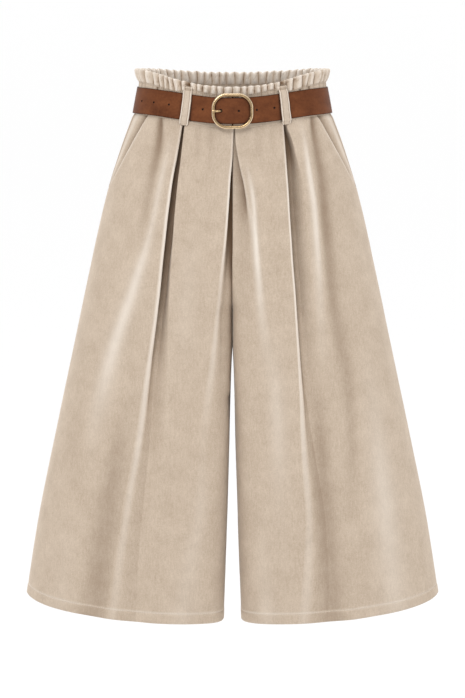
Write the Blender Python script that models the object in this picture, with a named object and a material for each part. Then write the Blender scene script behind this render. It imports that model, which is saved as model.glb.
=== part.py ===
"""Wide pleated culottes with a gathered paper-bag waist and a leather belt, one object for each cut piece.

Frame: +Z is up, the front faces -Y and the wearer's left is +X. The origin is the centre of the waist, level with
the middle of the belt at the side seams. The cloth keeps its worn shape, hollow and open at the waist and hems.
Sizes are in millimetres, and add_solid turns them into metres. "Drop" is a height measured down from the origin,
"rise" a height measured up from the middle of the belt, "reach" a length along a section seen from above and
"out" a distance outwards from it.
"""

import math
from bisect import bisect_right
from collections import namedtuple

import bmesh
import bpy
from mathutils import Vector

MM = 0.001

# ---------------------------------------------------------------- driving sizes

CLOTH = 1.0
SEAM_GAP = 0.3
LAYER = 3.2  # from one layer of a folded pleat to the next, middle to middle

CROTCH_DROP = 300.0
HEM_DROP = 760.0
FRONT_CROTCH_START = 205.0
BACK_CROTCH_START = 185.0
CROTCH_POWER = 2.4
SIDE_POWER = 2.25
HEM_CURVE_START = 330.0

BAND_CLOTH = 1.2
BAND_BOTTOM = -21.5
BAND_TOP = 44.0
STITCH_BELOW_TOP = 18.0
GATHERS = 29  # on each half of the waistband
GATHER_DEPTHS = (2.3, 0.7, 0.7, 0.5)  # at the top, the stitching, the middle of the belt and the bottom

BELT_HEIGHT = 38.0
BELT_LEATHER = 1.8
HOLE_PITCH = 25.5
HOLE_RADIUS = 2.0
PRONG_HOLE_RADIUS = 3.2

BUCKLE_WIDTH = 61.0
BUCKLE_HEIGHT = 52.7
BUCKLE_WIRE = 5.5
BUCKLE_WIRE_DEPTH = 3.0
BUCKLE_POWER = 2.6
BAR_RADIUS = 1.2

LOOP_WIDTH = 13.3
LOOP_CLOTH = 1.5

# ---------------------------------------------------------------- tables

# The body by drop: half width at the side seam, depth of the front and the back, the place across where a half
# section is deepest, its inner edge (the centre seam, and below the crotch the inseam) and how square the
# rounding is beside that edge.
Level = namedtuple("Level", "drop side front back middle inner inner_power")
LEVELS = (
    Level(20, 145.3, 93.2, 94.2, 1, 0.15, 6.0),
    Level(71, 164.0, 99.0, 105.0, 16, 0.15, 6.0),
    Level(133, 183.3, 104.0, 114.0, 38, 0.15, 6.0),
    Level(200, 199.5, 106.0, 117.0, 62, 0.15, 6.0),
    Level(235, 207.0, 106.0, 116.0, 80, 0.70, 6.0),
    Level(281, 217.0, 106.0, 113.0, 98, 0.75, 6.0),
    Level(365, 234.5, 104.0, 108.0, 117, 1.00, 5.5),
    Level(493, 260.5, 103.0, 109.0, 131, 4.50, 4.5),
    Level(636, 287.5, 103.0, 111.0, 147, 9.20, 3.6),
    Level(760, 305.5, 103.0, 113.0, 158, 13.70, 3.0),
)

# The waist by rise: half width at the side seams and depth of the front and the back, at the waistband's middle.
Ring = namedtuple("Ring", "rise side front back")
RINGS = (
    Ring(-26, 144.9, 92.6, 93.6),
    Ring(0, 140.0, 89.5, 90.5),
    Ring(19, 136.6, 87.4, 88.4),
    Ring(27, 135.7, 86.9, 87.9),
    Ring(44, 138.4, 89.0, 90.0),
)

# How far a line round the waist sinks from the side seams to the middle of the front and of the back, and how flat
# it is there.
Sag = namedtuple("Sag", "front back power")
BELT_SAG = Sag(13.0, 4.0, 2.0)
TOP_SAG = Sag(23.5, 7.0, 2.5)
BOTTOM_SAG = Sag(16.5, 4.5, 2.0)
BOTTOM_SAG_ENDS = 137.0  # the drop below which the panels' rows are level

# How far the hem is lifted, by its share of the way from the middle of the leg to the side seam (1) or to the
# inseam (-1).
Hem = namedtuple("Hem", "share lift")
HEM = (
    Hem(-1.0, -5.0),
    Hem(-0.5, -3.4),
    Hem(0.0, 1.5),
    Hem(0.4, 9.1),
    Hem(0.75, 18.6),
    Hem(0.9, 24.6),
    Hem(1.0, 30.0),
)

# A fold by drop: the place across of the flap's edge, the cloth hidden under the flap, the depth of the layer
# below, how far the fold has opened into a soft slope (0 to 1), and how far that slope runs to each side.
Fold = namedtuple("Fold", "drop edge overlap floor open valley crest")
RIGHT_CENTRE_FOLD = (
    Fold(20, -2.0, 12, 6.4, 0.0, 4, 4),
    Fold(73, 0.3, 12, 6.8, 0.0, 4, 5),
    Fold(109, 3.3, 10, 7.4, 0.0, 5, 6),
    Fold(137, 4.9, 8, 7.8, 0.10, 5, 8),
    Fold(168, 7.2, 6, 7.8, 0.40, 6, 9),
    Fold(205, 9.7, 5, 7.0, 0.80, 7, 11),
    Fold(238, 12.0, 4, 5.8, 1.0, 8, 13),
    Fold(274, 14.5, 4, 4.0, 1.0, 8, 14),
    Fold(317, 17.0, 4, 2.0, 1.0, 9, 16),
    Fold(380, 20.0, 4, 0.6, 1.0, 10, 18),
    Fold(760, 40.0, 4, 0.0, 1.0, 12, 24),
)
RIGHT_SIDE_FOLD = (
    Fold(20, 72.0, 15, 6.4, 0.0, 4, 5),
    Fold(67, 79.2, 15, 7.6, 0.0, 4, 5),
    Fold(125, 89.2, 14, 9.4, 0.0, 5, 6),
    Fold(186, 95.2, 13, 11.0, 0.0, 6, 7),
    Fold(250, 101.7, 11, 11.6, 0.10, 7, 8),
    Fold(313, 108.3, 10, 11.4, 0.25, 8, 9),
    Fold(380, 117.3, 8, 11.0, 0.42, 10, 10),
    Fold(477, 127.7, 7, 10.2, 0.62, 12, 11),
    Fold(588, 143.5, 6, 8.6, 0.85, 15, 13),
    Fold(685, 155.8, 5, 6.6, 1.0, 19, 16),
    Fold(760, 164.0, 5, 5.4, 1.0, 24, 20),
)
LEFT_CENTRE_FOLD = (
    Fold(20, 4.2, 12, 6.4, 0.0, 4, 4),
    Fold(44, 4.9, 12, 6.6, 0.0, 4, 5),
    Fold(82, 10.0, 11, 7.2, 0.0, 5, 7),
    Fold(121, 16.7, 8, 7.6, 0.20, 6, 10),
    Fold(146, 20.0, 6, 7.8, 0.55, 7, 11),
    Fold(172, 23.0, 5, 7.6, 0.90, 10, 12),
    Fold(205, 25.5, 4, 6.6, 1.0, 13, 14),
    Fold(250, 29.0, 4, 4.4, 1.0, 15, 16),
    Fold(317, 33.0, 4, 2.2, 1.0, 17, 20),
    Fold(380, 37.0, 4, 0.8, 1.0, 18, 24),
    Fold(760, 60.0, 4, 0.0, 1.0, 20, 30),
)
LEFT_SIDE_FOLD = (
    Fold(20, 73.5, 15, 6.4, 0.0, 4, 5),
    Fold(83, 78.1, 15, 8.0, 0.0, 4, 5),
    Fold(127, 80.8, 14, 9.4, 0.0, 5, 6),
    Fold(202, 86.0, 13, 11.2, 0.0, 6, 7),
    Fold(253, 89.3, 12, 11.6, 0.08, 7, 8),
    Fold(317, 94.6, 10, 11.4, 0.22, 8, 9),
    Fold(415, 102.3, 8, 10.8, 0.45, 10, 10),
    Fold(520, 110.6, 7, 9.8, 0.68, 13, 12),
    Fold(616, 120.0, 6, 8.2, 0.90, 16, 14),
    Fold(680, 120.0, 5, 6.8, 1.0, 20, 16),
    Fold(760, 116.0, 5, 5.2, 1.0, 24, 20),
)

# The soft bank across from a side pleat's flap, by drop: its gap from the flap's edge, and its width.
Bank = namedtuple("Bank", "drop gap width")
RIGHT_BANK = (
    Bank(20, 2.0, 3),
    Bank(62, 6.5, 5),
    Bank(115, 8.5, 8),
    Bank(186, 11.0, 13),
    Bank(300, 14.0, 22),
    Bank(450, 19.0, 32),
    Bank(600, 24.0, 36),
    Bank(760, 28.0, 40),
)
LEFT_BANK = (
    Bank(20, 2.0, 3),
    Bank(62, 8.0, 4),
    Bank(89, 12.0, 8),
    Bank(121, 14.0, 17),
    Bank(191, 14.0, 24),
    Bank(300, 15.0, 30),
    Bank(450, 18.0, 36),
    Bank(600, 22.0, 40),
    Bank(760, 26.0, 40),
)

# Soft shapes by drop: the tuck between each side pleat and its pocket, the gathers that the elastic leaves in the
# back, and the long waves in which the legs hang at the hem.
Soft = namedtuple("Soft", "drop tuck gather hem_wave")
SOFT = (
    Soft(20, 1.6, 0.7, 0.0),
    Soft(55, 2.4, 2.0, 0.0),
    Soft(100, 0.0, 1.5, 0.0),
    Soft(190, 0.0, 0.7, 0.0),
    Soft(330, 0.0, 0.2, 0.6),
    Soft(560, 0.0, 0.0, 2.0),
    Soft(760, 0.0, 0.0, 3.2),
)

# The outer panel from its pleat to the pocket mouth: places across it, and how deep the tuck is there.
Tuck = namedtuple("Tuck", "share depth")
TUCK = (
    Tuck(0.18, 0.0),
    Tuck(0.38, 0.0),
    Tuck(0.53, 0.15),
    Tuck(0.63, 1.0),
    Tuck(0.73, 0.15),
    Tuck(0.87, 0.0),
    Tuck(1.0, 0.0),
)
BANK_SHARES = (0.0, 0.33, 0.67, 1.0)  # places across the soft bank beside a side pleat
CENTRE_STEPS = 7
MIDDLE_STEPS = 6
LEAST_MIDDLE = 12.0
EDGE_LEVELS_WITHIN = 28.0  # the drop from the crotch curve's start in which the centre edge comes up to the outside

# The back panel: its corner beside the centre seam, the columns on each side of that, and the gathers' swing.
BACK_CORNER = 22.0
CORNER_STEPS = 7
BACK_STEPS = 20

# The slanted pocket mouth runs straight from the waist to the side seam.
POCKET_TOP_ACROSS = 125.0
POCKET_END_DROP = 133.0
POCKET_DEPTH = 2.0
POCKET_TUCKED_IN = 11.0
POCKET_EDGE = 4.0  # how far under the mouth the pocket's back is still at its full depth
POCKET_RISE = 16.0  # the reach in which it comes up to the side seam
POCKET_SHARES = (0.3, 0.65, 1.0)

FRONT_DROPS = (22, 36, 54, 76, 96, 112, 124, 130, 133, 168, 205, 238, 266, 286, 300, 336, 388, 452, 530, 612, 690, 760)
BACK_DROPS = (22, 46, 76, 110, 150, 190, 226, 252, 270, 284, 293, 300, 342, 402, 480, 575, 672, 760)
POCKET_DROPS = (22, 36, 54, 76, 96, 112, 124, 130)

# The strap in the order in which it is threaded, as a length along it from the middle of the front. It starts
# under the left loop at its tip, passes over the buckle's bar, goes round the waist and ends on the bar.
Strap = namedtuple("Strap", "along out")
STRAP_ON_BAND = 2.9
STRAP_ON_STRAP = 5.1
BAR_OUT = 5.1
STRAP_ON_BAR = 7.5
FREE_STRAP_ON_BAR = 9.7
FREE_END = (
    Strap(-80, STRAP_ON_STRAP),
    Strap(-58, STRAP_ON_STRAP),
    Strap(-44, 6.5),
    Strap(-30, 8.7),
    Strap(-20, FREE_STRAP_ON_BAR),
    Strap(0, FREE_STRAP_ON_BAR),
    Strap(20, 10.3),
    Strap(28, 10.4),
    Strap(36, 8.4),
    Strap(48, 4.6),
    Strap(58, STRAP_ON_BAND),
)
FIXED_END = (
    Strap(-60, STRAP_ON_BAND),
    Strap(-44, 4.2),
    Strap(-30, 5.9),
    Strap(-20, 7.0),
    Strap(-12, STRAP_ON_BAR),
    Strap(0, STRAP_ON_BAR),
)
STRAP_RETURN = 28.0
FREE_PLACES = (-80, -74, -66, -58, -51, -44, -37, -30, -25, -20, -13, -6, 0, 7, 14, 20, 24, 28, 32, 36, 42, 48, 53)
FIXED_PLACES = (-52, -44, -37, -30, -25, -20, -16, -12, -6)
STEPS_ROUND = 64
TIP_HALVES = (0.30, 0.74, 0.97)  # the share of the strap's height at its first places, for its pointed tip

PRONG_ALONG = 16.6  # where along the strap the prong passes through it
HOLES = range(-3, 6)  # counted from the prong's hole
HOLE_SIDES = 8
SLOT_HALF = 2.7
SLOT_REACHES = (-7.0, 9.0)
SLOT_FROM = 0.9

RING_OUT = 12.4
RING_STEPS = 34
PRONG_WIDTH = 3.0
PRONG_METAL = 1.5
PRONG_WRAP = (-160, 90)  # the turn about the bar at which the prong's hook starts and ends, in degrees

# The prong from where it leaves the bar to its tip on the ring, and how wide it is there as a share.
Spot = namedtuple("Spot", "x out width")
PRONG = (
    Spot(-6.5, BAR_OUT + BAR_RADIUS + SEAM_GAP + PRONG_METAL / 2, 1.0),
    Spot(-13.0, BAR_OUT + BAR_RADIUS + SEAM_GAP + PRONG_METAL / 2, 1.0),
    Spot(-15.8, 8.9, 1.0),
    Spot(-18.0, 11.3, 1.0),
    Spot(-20.4, 13.6, 1.0),
    Spot(-23.5, 15.0, 1.0),
    Spot(-26.5, 15.3, 0.85),
    Spot(-29.5, 15.2, 0.45),
)

LOOP_REACH = 67.5  # from the middle of the front or the back
FRONT_LEFT_LOOP = 75.5  # this loop was sewn on a little further out
LOOP_SEWN = 2.6
FRONT_FOOT = 3.7
BACK_FOOT = 5.0

# A loop from its top to its foot: its rise from the strap's nearer edge, and its place from the sewn end (0) to the
# strap's outside (1).
LoopRow = namedtuple("LoopRow", "rise over")
LOOP_TOP = (
    LoopRow(8.5, 0.0),
    LoopRow(4.2, 0.02),
    LoopRow(2.3, 0.6),
    LoopRow(0.6, 1.0),
)
LOOP_BOTTOM = (
    LoopRow(-0.6, 1.0),
    LoopRow(-2.3, 0.6),
    LoopRow(-4.2, 0.0),
    LoopRow(-6.6, 0.0),
)


# ---------------------------------------------------------------- tables and meshes

def slope_at(keys, values, i):
    """The slope of a curve at row i that bends smoothly and never overshoots a row."""
    steps = [
        (values[j + 1] - values[j]) / (keys[j + 1] - keys[j])
        for j in (i - 1, i)
        if 0 <= j < len(keys) - 1
    ]
    if len(steps) == 1:
        return steps[0]
    if steps[0] * steps[1] <= 0:
        return 0.0
    return 2 * steps[0] * steps[1] / (steps[0] + steps[1])


def read(table, where, column):
    """One column of a table at a place between its rows, on a smooth curve through them."""
    keys = [row[0] for row in table]
    values = [getattr(row, column) for row in table]
    where = min(max(where, keys[0]), keys[-1])
    low = min(bisect_right(keys, where), len(keys) - 1) - 1
    span = keys[low + 1] - keys[low]
    share = (where - keys[low]) / span
    return (
        (1 + 2 * share) * (1 - share) ** 2 * values[low]
        + share * (1 - share) ** 2 * span * slope_at(keys, values, low)
        + share**2 * (3 - 2 * share) * values[low + 1]
        + share**2 * (share - 1) * span * slope_at(keys, values, low + 1)
    )


def row_at(table, where):
    """A whole row of a table at a place between its rows."""
    kind = type(table[0])
    return kind(where, *(read(table, where, column) for column in kind._fields[1:]))


def soft_step(share):
    """0 to 1 along a smooth ramp."""
    share = min(max(share, 0.0), 1.0)
    return share * share * (3 - 2 * share)


def spread(start, end, count):
    """Count values from just after start up to end, evenly spaced."""
    return [start + (end - start) * (i + 1) / count for i in range(count)]


def turned(centre, radius, start, end, count):
    """Points on an arc, from one angle to another in degrees."""
    angles = [math.radians(start + (end - start) * i / (count - 1)) for i in range(count)]
    return [(centre[0] + radius * math.cos(a), centre[1] + radius * math.sin(a)) for a in angles]


def material(name, colour, roughness, metallic=0.0):
    made = bpy.data.materials.new(name)
    made.use_nodes = True
    shader = made.node_tree.nodes["Principled BSDF"]
    shader.inputs["Base Color"].default_value = (*colour, 1.0)
    shader.inputs["Roughness"].default_value = roughness
    shader.inputs["Metallic"].default_value = metallic
    return made


def add_solid(name, points, faces, finish):
    """One closed body from points in millimetres."""
    mesh = bpy.data.meshes.new(name)
    build = bmesh.new()
    corners = [build.verts.new(Vector(point) * MM) for point in points]
    for face in faces:
        build.faces.new([corners[i] for i in face])
    bmesh.ops.recalc_face_normals(build, faces=build.faces)
    build.to_mesh(mesh)
    build.free()
    mesh.materials.append(finish)
    mesh.shade_smooth()
    mesh.set_sharp_from_angle(angle=math.radians(50))
    solid = bpy.data.objects.new(name, mesh)
    bpy.context.scene.collection.objects.link(solid)
    return solid


def add_wall(name, grid, thickness, finish):
    """A sheet of one thickness on a grid of middle points, closed round its rim."""
    last_row, last_column = len(grid) - 1, len(grid[0]) - 1
    outer, inner = [], []
    for i, row in enumerate(grid):
        for j, point in enumerate(row):
            across = row[min(j + 1, last_column)] - row[max(j - 1, 0)]
            down = grid[min(i + 1, last_row)][j] - grid[max(i - 1, 0)][j]
            normal = across.cross(down).normalized() * (thickness / 2)
            outer.append(point + normal)
            inner.append(point - normal)
    width = last_column + 1
    under = len(outer)
    faces = []
    for i in range(last_row):
        for j in range(last_column):
            a = i * width + j
            face = (a, a + 1, a + width + 1, a + width)
            faces.append(face)
            faces.append(tuple(under + k for k in reversed(face)))
    rim = [j for j in range(width)]
    rim += [i * width + last_column for i in range(1, last_row + 1)]
    rim += [last_row * width + j for j in range(last_column - 1, -1, -1)]
    rim += [i * width for i in range(last_row - 1, 0, -1)]
    for a, b in zip(rim, rim[1:] + rim[:1]):
        faces.append((a, b, under + b, under + a))
    return add_solid(name, outer + inner, faces, finish)


# ---------------------------------------------------------------- leg panels

class Section:
    """Half of the body seen from above, from the centre seam or inseam to the side seam, with y negative."""

    def __init__(self, points):
        self.points = points
        self.reaches = [0.0]
        for a, b in zip(points, points[1:]):
            self.reaches.append(self.reaches[-1] + (b - a).length)
        self.length = self.reaches[-1]

    def at(self, reach, out):
        """The point at a reach along the section, moved outwards."""
        i = min(max(bisect_right(self.reaches, reach) - 1, 0), len(self.points) - 2)
        step = self.points[i + 1] - self.points[i]
        share = (reach - self.reaches[i]) / step.length
        before = self.points[i + 1] - self.points[max(i - 1, 0)]
        after = self.points[min(i + 2, len(self.points) - 1)] - self.points[i]
        along = before.lerp(after, min(max(share, 0.0), 1.0)).normalized()
        return self.points[i] + step * share + Vector((along.y, -along.x)) * out

    def reach_of(self, across):
        """The reach at which the section is this far across, on its outer side."""
        for i in range(len(self.points) - 1):
            low, high = self.points[i].x, self.points[i + 1].x
            if high >= across > low:
                return self.reaches[i] + (self.reaches[i + 1] - self.reaches[i]) * (across - low) / (high - low)
        return across if across < self.points[0].x else self.length


def body_section(drop, facing):
    """The section of the front or the back at a drop. Above the crotch it starts on the crotch curve."""
    level = row_at(LEVELS, drop)
    depth = level.front if facing == "front" else level.back
    curve_start = FRONT_CROTCH_START if facing == "front" else BACK_CROTCH_START
    down = min(max((drop - curve_start) / (CROTCH_DROP - curve_start), 0.0), 1.0)
    seam = SEAM_GAP / 2
    edge = max(seam, depth * (1 - down**CROTCH_POWER) ** (1 / CROTCH_POWER))
    steps = 70
    points = []
    for i in range(steps + 1):
        turn = math.pi / 2 * i / steps
        power = 2 / level.inner_power
        x = level.middle - (level.middle - level.inner) * math.cos(turn) ** power
        y = edge + (depth - edge) * math.sin(turn) ** power
        points.append(Vector((x, -y)))
    for i in range(1, steps + 1):
        turn = math.pi / 2 * (1 - i / steps)
        power = 2 / SIDE_POWER
        x = level.middle + (level.side - level.middle) * math.cos(turn) ** power
        y = seam + (depth - seam) * math.sin(turn) ** power
        points.append(Vector((x, -y)))
    return Section([p for i, p in enumerate(points) if i == 0 or (p - points[i - 1]).length > 1e-6])


def height(drop, across, facing):
    """The height of a point: the waist edge sinks towards the middle, and the hem lifts towards the side seam."""
    level = row_at(LEVELS, drop)
    share = min(abs(across) / level.side, 1.0)
    fading = 1 - soft_step((drop - FRONT_DROPS[0]) / (BOTTOM_SAG_ENDS - FRONT_DROPS[0]))
    sag = getattr(BOTTOM_SAG, facing) * (1 - share**BOTTOM_SAG.power) ** 2 * fading
    half = level.side - level.middle if across > level.middle else level.middle - level.inner
    curved = max(0.0, (drop - HEM_CURVE_START) / (HEM_DROP - HEM_CURVE_START)) ** 1.5
    return -drop - sag + read(HEM, (across - level.middle) / half, "lift") * curved


def placed(section, drop, side, facing, line):
    """The points of one row of a panel, from its line of reaches and outward distances."""
    row = []
    for reach, out in line:
        base = section.at(reach, 0.0)
        spot = section.at(reach, out)
        y = spot.y if facing == "front" else -spot.y
        row.append(Vector((side * spot.x, y, height(drop, base.x, facing))))
    return row


def flap(edge, fold):
    """The line of a fold from the layer below, under the flap, round its edge and onto its face."""
    bend = LAYER / 2
    hidden_bend = (max(fold.floor, 2 * LAYER) - LAYER) / 2
    folded = turned((edge + fold.overlap - hidden_bend, -LAYER - hidden_bend), hidden_bend, -90, 90, 4)
    folded += turned((edge + bend, -bend), bend, -90, -270, 4)
    line = []
    for i, (reach, out) in enumerate(folded):
        share = i / (len(folded) - 1)
        open_reach = edge - fold.valley + (fold.valley + fold.crest) * share
        open_out = -fold.floor * (1 - soft_step(share))
        line.append((reach + (open_reach - reach) * fold.open, out + (open_out - out) * fold.open))
    return line


def pocket_across(drop):
    """How far across the pocket mouth is at a drop, or the side seam below it."""
    side = read(LEVELS, drop, "side")
    end = read(LEVELS, POCKET_END_DROP, "side")
    share = (drop - FRONT_DROPS[0]) / (POCKET_END_DROP - FRONT_DROPS[0])
    return side if share >= 1 else POCKET_TOP_ACROSS + (end - POCKET_TOP_ACROSS) * share


def mouth_reach(section, drop):
    """The reach of the front panel's outer edge."""
    return section.length if drop >= POCKET_END_DROP else section.reach_of(pocket_across(drop))


def hem_wave(section, reach, drop):
    """The long soft waves of a leg, which fade at its edges."""
    share = reach / section.length
    return read(SOFT, drop, "hem_wave") * math.sin(math.pi * share) * math.sin(5 * math.pi * share + 0.6)


def front_line(section, drop, centre_fold, side_fold, bank_table, flap_outside):
    """One row of a front panel: the centre pleat's half, the middle panel, the side pleat and the outer panel."""
    centre = row_at(centre_fold, drop)
    side = row_at(side_fold, drop)
    bank = row_at(bank_table, drop)
    first = flap(section.reach_of(centre.edge), centre)
    edge_out = first[0][1] * (1 - soft_step((drop - FRONT_CROTCH_START) / EDGE_LEVELS_WITHIN))
    line = [(0.0, edge_out)]
    for reach in spread(0.0, first[0][0], CENTRE_STEPS)[:-1]:
        share = soft_step(reach / first[0][0])
        line.append((reach, edge_out + (first[0][1] - edge_out) * share))
    line += first

    edge = section.reach_of(side.edge)
    fold = flap(edge, side)
    floor = fold[0][1]
    slope = [(share, floor * soft_step(share)) for share in BANK_SHARES]
    if flap_outside:
        foot = min(edge - bank.gap, fold[0][0] - 1.0)
        head = max(foot - bank.width, first[-1][0] + LEAST_MIDDLE)
        pleat = [(head + (foot - head) * share, out) for share, out in slope]
        pleat.append(((foot + fold[0][0]) / 2, floor))
        pleat += fold
    else:
        fold = [(2 * edge - reach, out) for reach, out in reversed(fold)]
        foot = max(edge + bank.gap, fold[-1][0] + 1.0)
        head = foot + bank.width
        pleat = fold + [((foot + fold[-1][0]) / 2, floor)]
        pleat += [(head + (foot - head) * share, out) for share, out in reversed(slope)]
    line += [(reach, 0.0) for reach in spread(first[-1][0], pleat[0][0], MIDDLE_STEPS)[:-1]]
    line += pleat

    start, end = pleat[-1][0], mouth_reach(section, drop)
    tuck = read(SOFT, drop, "tuck")
    for share, depth in TUCK:
        line.append((start + (end - start) * share, -tuck * depth))
    return [(reach, out + hem_wave(section, reach, drop)) for reach, out in line]


def back_line(section, drop):
    """One row of a back panel, with the soft gathers that hang from the elastic waist."""
    corner = section.reach_of(BACK_CORNER)
    line = [(reach, 0.0) for reach in [0.0] + spread(0.0, corner, CORNER_STEPS)]
    depth = read(SOFT, drop, "gather")
    for i, reach in enumerate(spread(corner, section.length, BACK_STEPS), start=1):
        wave = math.sin(math.pi / 2 * i) * math.sin(math.pi * i / BACK_STEPS) ** 0.5
        line.append((reach, depth * wave))
    return [(reach, out - hem_wave(section, reach, drop)) for reach, out in line]


def pocket_line(section, drop):
    """One row of a pocket's back: tucked under the front panel, and level with the back panel at the side seam."""
    mouth = mouth_reach(section, drop)
    reaches = [mouth - POCKET_TUCKED_IN, mouth - POCKET_EDGE]
    reaches += [mouth + (section.length - mouth) * share for share in POCKET_SHARES]
    return [(reach, -POCKET_DEPTH * (1 - soft_step((reach - mouth - 1) / POCKET_RISE))) for reach in reaches]


def add_leg_panels(suede):
    for side, wearer in ((1, "left"), (-1, "right")):
        folds = (
            (LEFT_CENTRE_FOLD, LEFT_SIDE_FOLD, LEFT_BANK, False)
            if wearer == "left"
            else (RIGHT_CENTRE_FOLD, RIGHT_SIDE_FOLD, RIGHT_BANK, True)
        )
        front, back, pocket = [], [], []
        for drop in FRONT_DROPS:
            section = body_section(drop, "front")
            front.append(placed(section, drop, side, "front", front_line(section, drop, *folds)))
        for drop in BACK_DROPS:
            section = body_section(drop, "back")
            back.append(placed(section, drop, side, "back", back_line(section, drop)))
        for drop in POCKET_DROPS:
            section = body_section(drop, "front")
            pocket.append(placed(section, drop, side, "front", pocket_line(section, drop)))
        add_wall("front_" + wearer, front, CLOTH, suede)
        add_wall("back_" + wearer, back, CLOTH, suede)
        add_wall("pocket_back_" + wearer, pocket, CLOTH, suede)


# ---------------------------------------------------------------- waist

def oval(turn, rise):
    """A point of the waist's ring, by its turn from the middle of the front towards the wearer's left."""
    ring = row_at(RINGS, rise)
    depth = ring.front if math.cos(turn) > 0 else ring.back
    power = 2 / SIDE_POWER
    x = math.copysign(abs(math.sin(turn)) ** power, math.sin(turn)) * ring.side
    y = -math.copysign(abs(math.cos(turn)) ** power, math.cos(turn)) * depth
    return Vector((x, y))


TURN_STEPS = 720
TURNS = [math.tau * i / TURN_STEPS for i in range(TURN_STEPS + 1)]
TURN_REACHES = [0.0]
for turn_a, turn_b in zip(TURNS, TURNS[1:]):
    TURN_REACHES.append(TURN_REACHES[-1] + (oval(turn_b, 0.0) - oval(turn_a, 0.0)).length)
WAIST_ROUND = TURN_REACHES[-1]


def turn_of(reach):
    """The turn of a place on the waist, from its reach along the ring at the middle of the belt."""
    reach %= WAIST_ROUND
    i = min(bisect_right(TURN_REACHES, reach), TURN_STEPS) - 1
    share = (reach - TURN_REACHES[i]) / (TURN_REACHES[i + 1] - TURN_REACHES[i])
    return TURNS[i] + (TURNS[i + 1] - TURNS[i]) * share


def sunk(turn, sag):
    """How far a line round the waist has sunk at a turn."""
    across = abs(oval(turn, 0.0).x) / read(RINGS, 0.0, "side")
    return (sag.front if math.cos(turn) > 0 else sag.back) * (1 - min(across, 1.0) ** sag.power) ** 2


def at_waist(reach, rise, out):
    """A point by its reach round the waist, its rise from the belt's middle line and its distance outwards."""
    turn = turn_of(reach)
    step = 0.004
    along = (oval(turn + step, rise) - oval(turn - step, rise)).normalized()
    spot = oval(turn, rise) + Vector((along.y, -along.x)) * out
    return Vector((spot.x, spot.y, rise - sunk(turn, BELT_SAG)))


def gather_reaches(start, end):
    """Reaches at each quarter of each gather, of uneven widths, with the gather's wave there."""
    widths = [1 + 0.28 * math.sin(2.1 * k + 0.7) + 0.12 * math.sin(5.3 * k) for k in range(GATHERS)]
    scale = (end - start) / sum(widths)
    places, reach = [(start, 0.0)], start
    for width in widths:
        for quarter, wave in ((0.27, 1.0), (0.5, 0.5), (0.78, -1.0), (1.0, 0.0)):
            places.append((reach + quarter * width * scale, wave))
        reach += width * scale
    return places


def beside_loops(reach):
    """1 where the gathers hang freely, and less where a belt loop presses them flat."""
    free = 1.0
    for loop in (FRONT_LEFT_LOOP, -LOOP_REACH, WAIST_ROUND / 2 - LOOP_REACH, WAIST_ROUND / 2 + LOOP_REACH):
        away = (reach - loop + WAIST_ROUND / 2) % WAIST_ROUND - WAIST_ROUND / 2
        free = min(free, 0.15 + 0.85 * soft_step((abs(away) - LOOP_WIDTH * 0.5) / 8))
    return free


def add_waistband(suede):
    """Two halves of the waistband: the casing behind the belt and the ruffled header above its stitching."""
    quarter = WAIST_ROUND / 4
    half_gap = SEAM_GAP / 2
    for name, start in (("waistband_front", -quarter), ("waistband_back", quarter)):
        rows = [[], [], [], []]
        for reach, wave in gather_reaches(start + half_gap, start + 2 * quarter - half_gap):
            turn = turn_of(reach)
            belt_line = sunk(turn, BELT_SAG)
            top = BAND_TOP - sunk(turn, TOP_SAG) + belt_line
            bottom = BAND_BOTTOM - sunk(turn, BOTTOM_SAG) + belt_line
            rises = (top, top - STITCH_BELOW_TOP, 0.0, bottom)
            wave *= beside_loops(reach)
            for row, rise, depth in zip(rows, rises, GATHER_DEPTHS):
                row.append(at_waist(reach, rise, wave * depth))
        add_wall(name, rows, BAND_CLOTH, suede)


def add_belt_loops(suede):
    """Four loops, each a strip sewn to the waistband above and below the belt."""
    edge = BELT_HEIGHT / 2
    for name, reach, strap_out, foot in (
        ("belt_loop_front_left", FRONT_LEFT_LOOP, STRAP_ON_STRAP, FRONT_FOOT),
        ("belt_loop_front_right", -LOOP_REACH, STRAP_ON_BAND, FRONT_FOOT),
        ("belt_loop_back_left", WAIST_ROUND / 2 - LOOP_REACH, STRAP_ON_BAND, BACK_FOOT),
        ("belt_loop_back_right", WAIST_ROUND / 2 + LOOP_REACH, STRAP_ON_BAND, BACK_FOOT),
    ):
        over = strap_out + BELT_LEATHER / 2 + SEAM_GAP + LOOP_CLOTH / 2
        run = [(edge + row.rise, LOOP_SEWN + (over - LOOP_SEWN) * row.over) for row in LOOP_TOP]
        run.append((0.0, over))
        run += [(-edge + row.rise, foot + (over - foot) * row.over) for row in LOOP_BOTTOM]
        rows = []
        for rise, out in run:
            rows.append([at_waist(reach + share * LOOP_WIDTH / 2, rise, out) for share in (-1, 0, 1)])
        add_wall(name, rows, LOOP_CLOTH, suede)


# ---------------------------------------------------------------- belt

def strap_run():
    """The strap's line of lengths along it and distances outwards, from its tip to its end behind the bar."""
    line = [(along, read(FREE_END, along, "out")) for along in FREE_PLACES]
    start, end = FREE_END[-1].along, WAIST_ROUND + FIXED_END[0].along
    line += [(along, STRAP_ON_BAND) for along in [start] + spread(start, end, STEPS_ROUND)]
    line += [(WAIST_ROUND + along, read(FIXED_END, along, "out")) for along in FIXED_PLACES]
    bend = STRAP_ON_BAR - BAR_OUT
    line += turned((WAIST_ROUND, BAR_OUT), bend, 90, -90, 7)
    line += [(WAIST_ROUND - along, BAR_OUT - bend) for along in spread(0.0, STRAP_RETURN, 4)]
    return line


def add_cutter(name, points, faces):
    """A hidden body that a Boolean takes away."""
    cutter = add_solid(name, points, faces, material(name, (0.5, 0.5, 0.5), 0.5))
    cutter.hide_render = True
    cutter.display_type = "WIRE"
    return cutter


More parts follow.
